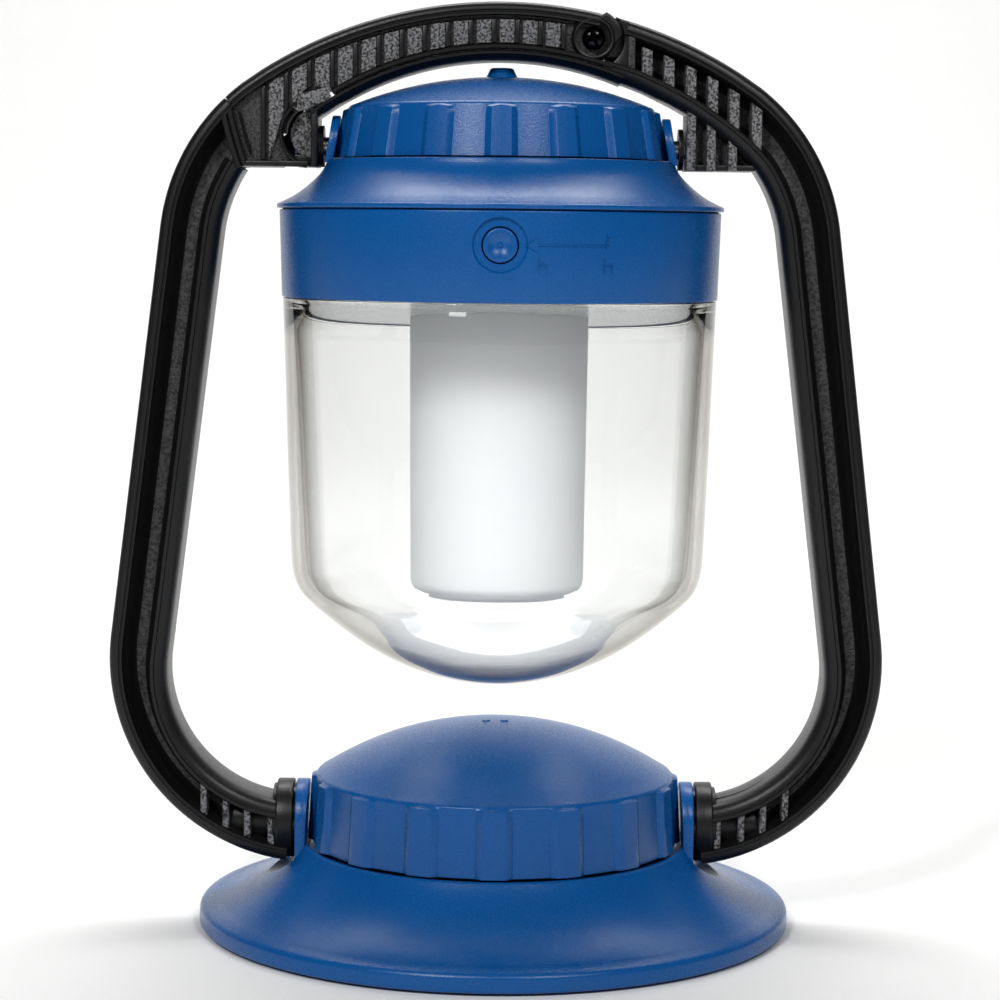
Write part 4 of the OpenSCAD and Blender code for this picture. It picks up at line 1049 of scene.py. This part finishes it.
# cheeks about the screw
aboutScrew(part, rounded([(4.75, -9.9), (5.15, -10.0, 0.1), (5.9, -9.0, 0.4), (5.9, -6.1), (1.6, -6.1),
                          (1.6, -6.6), (4.6, -6.6)]), "smooth", 96)
shoulder = arcPoints(screwC, 7.5, 64, 8, 14) + [(gateX + 5.4, gateZ - 1.5)]
shoulder += arcPoints(screwC, 5.5, 0, 80, 14)
addPrism(part, shoulder, -9.7, -6.1, "smooth", edge=0.3)
addPrism(part, shoulder, 6.1, 9.7, "smooth", edge=0.3)
aboutScrew(part, rounded([(1.6, 6.2), (5.9, 6.2), (5.9, 10.0, 0.5), (2.9, 10.0, 0.2), (2.9, 7.8),
                          (1.6, 7.8)]), "smooth", 96)
finishPart("gateFlanges", part, "gate", ["gate"])

screw = {
    # pan head and shank; the cross recess narrows from its mouth to its floor (y, half length, half width)
    "profile": [(0, -9.8), (1.2, -9.75), (2.0, -9.55), (2.6, -9.1), (2.95, -8.5), (3.05, -7.9), (3.05, -6.6),
                (1.5, -6.6), (1.5, 9.0), (0, 9.0)],
    "slots": (25, 115), "recess": ((-10.5, 2.0, 0.45), (-9.5, 2.0, 0.45), (-8.0, 0.5, 0.2))}
part = newPart()
aboutScrew(part, screw["profile"], "oxide", 64)
obj = finishPart("screwHead", part, "gate", ["gate_screw"], sharp=45)
for turn in screw["slots"]:
    dx, dz = math.cos(math.radians(turn)), math.sin(math.radians(turn))
    rings = []
    for y, halfLong, halfWide in screw["recess"]:
        corners = [(i * halfLong, j * halfWide) for i, j in ((-1, -1), (1, -1), (1, 1), (-1, 1))]
        rings.append([(gateX + dx * u - dz * v, y, gateZ + dz * u + dx * v) for u, v in corners])
    tool = newPart()
    addRings(tool, rings, "oxide")
    cutWith(obj, tool)
print("frame built")

studio = {"floor": "#f6f6f5", "floorDeep": "#f3f3f2", "half": 4000, "front": -3000, "back": 1400,
          "bend": 900, "top": 3200}
# white paper that lies flat and rises behind the lantern in one bend
mesh = bpy.data.meshes.new("studioFloor")
bend, back = studio["bend"], studio["back"]
lines = [(studio["front"], 0), (back, 0)]
lines += [(y, bend + z) for y, z in arcPoints((back, 0), bend, -90, 0, 12)[1:]]
lines += [(back + bend, studio["top"])]
verts = [(x * mm, y * mm, z * mm) for y, z in lines for x in (-studio["half"], studio["half"])]
mesh.from_pydata(verts, [], [(2 * k, 2 * k + 1, 2 * k + 3, 2 * k + 2) for k in range(len(lines) - 1)])
mesh.polygons.foreach_set("use_smooth", [True] * len(mesh.polygons))
paper, tree = startMaterial("whitePaper")
fibre = addNode(tree, "ShaderNodeTexNoise", {"Scale": 1 / (6 * mm), "Detail": 3.0},
                {"Vector": addNode(tree, "ShaderNodeTexCoord").outputs["Object"]})
tone = addNode(tree, "ShaderNodeMix", {"data_type": "RGBA"}, {"Factor": fibre.outputs["Fac"]})
tone.inputs["A"].default_value = toLinear(studio["floor"])
tone.inputs["B"].default_value = toLinear(studio["floorDeep"])
shader = addNode(tree, "ShaderNodeBsdfPrincipled", {"Roughness": 0.7, "IOR": 1.45},
                 {"Base Color": tone.outputs["Result"]})
addNode(tree, "ShaderNodeOutputMaterial", None, {"Surface": shader.outputs["BSDF"]})
mesh.materials.append(paper)
floor = bpy.data.objects.new("studioFloor", mesh)
scene.collection.objects.link(floor)


def areaLight(name, spec):
    data = bpy.data.lights.new(name, "AREA")
    data.shape = "RECTANGLE"
    data.size, data.size_y = spec["size"]
    data.energy = spec["watts"]
    light = bpy.data.objects.new(name, data)
    light.location = spec["at"]
    light.rotation_euler = (Vector(spec["aim"]) - Vector(spec["at"])).to_track_quat("-Z", "Y").to_euler()
    scene.collection.objects.link(light)


areaLight("overhead", {"size": (1.2, 0.7), "watts": 14, "at": (0, 0.75, 1.6), "aim": (0, 0, 0.1)})
areaLight("frontLeft", {"size": (0.22, 0.3), "watts": 10, "at": (-0.5, -1.15, 0.95), "aim": (0, 0, 0.13)})
areaLight("frontRight", {"size": (0.18, 0.26), "watts": 7, "at": (0.5, -1.2, 1.0), "aim": (0, 0, 0.13)})
areaLight("backdropWash", {"size": (2.4, 0.6), "watts": 33, "at": (0, 0.8, 1.9), "aim": (0, 2.1, 0.5)})
world = bpy.data.worlds.new("softRoom")
world.use_nodes = True
world.node_tree.nodes["Background"].inputs["Color"].default_value = (1, 1, 1, 1)
world.node_tree.nodes["Background"].inputs["Strength"].default_value = 0.08
scene.world = world
scene.view_settings.view_transform = "Standard"

# metres and degrees; the small roll shares out the lean of the real frame over its foot
lens = {"x": -0.0001, "distance": 0.7498, "height": 0.1882, "pitch": 5.573, "roll": 0.6, "focal": 100.44}
data = bpy.data.cameras.new("mainCamera")
data.sensor_width = 36
data.lens = lens["focal"]
camera = bpy.data.objects.new("mainCamera", data)
camera.location = (lens["x"], -lens["distance"], lens["height"])
camera.rotation_euler = (math.radians(90 - lens["pitch"]), math.radians(-lens["roll"]), 0)
scene.collection.objects.link(camera)
scene.camera = camera
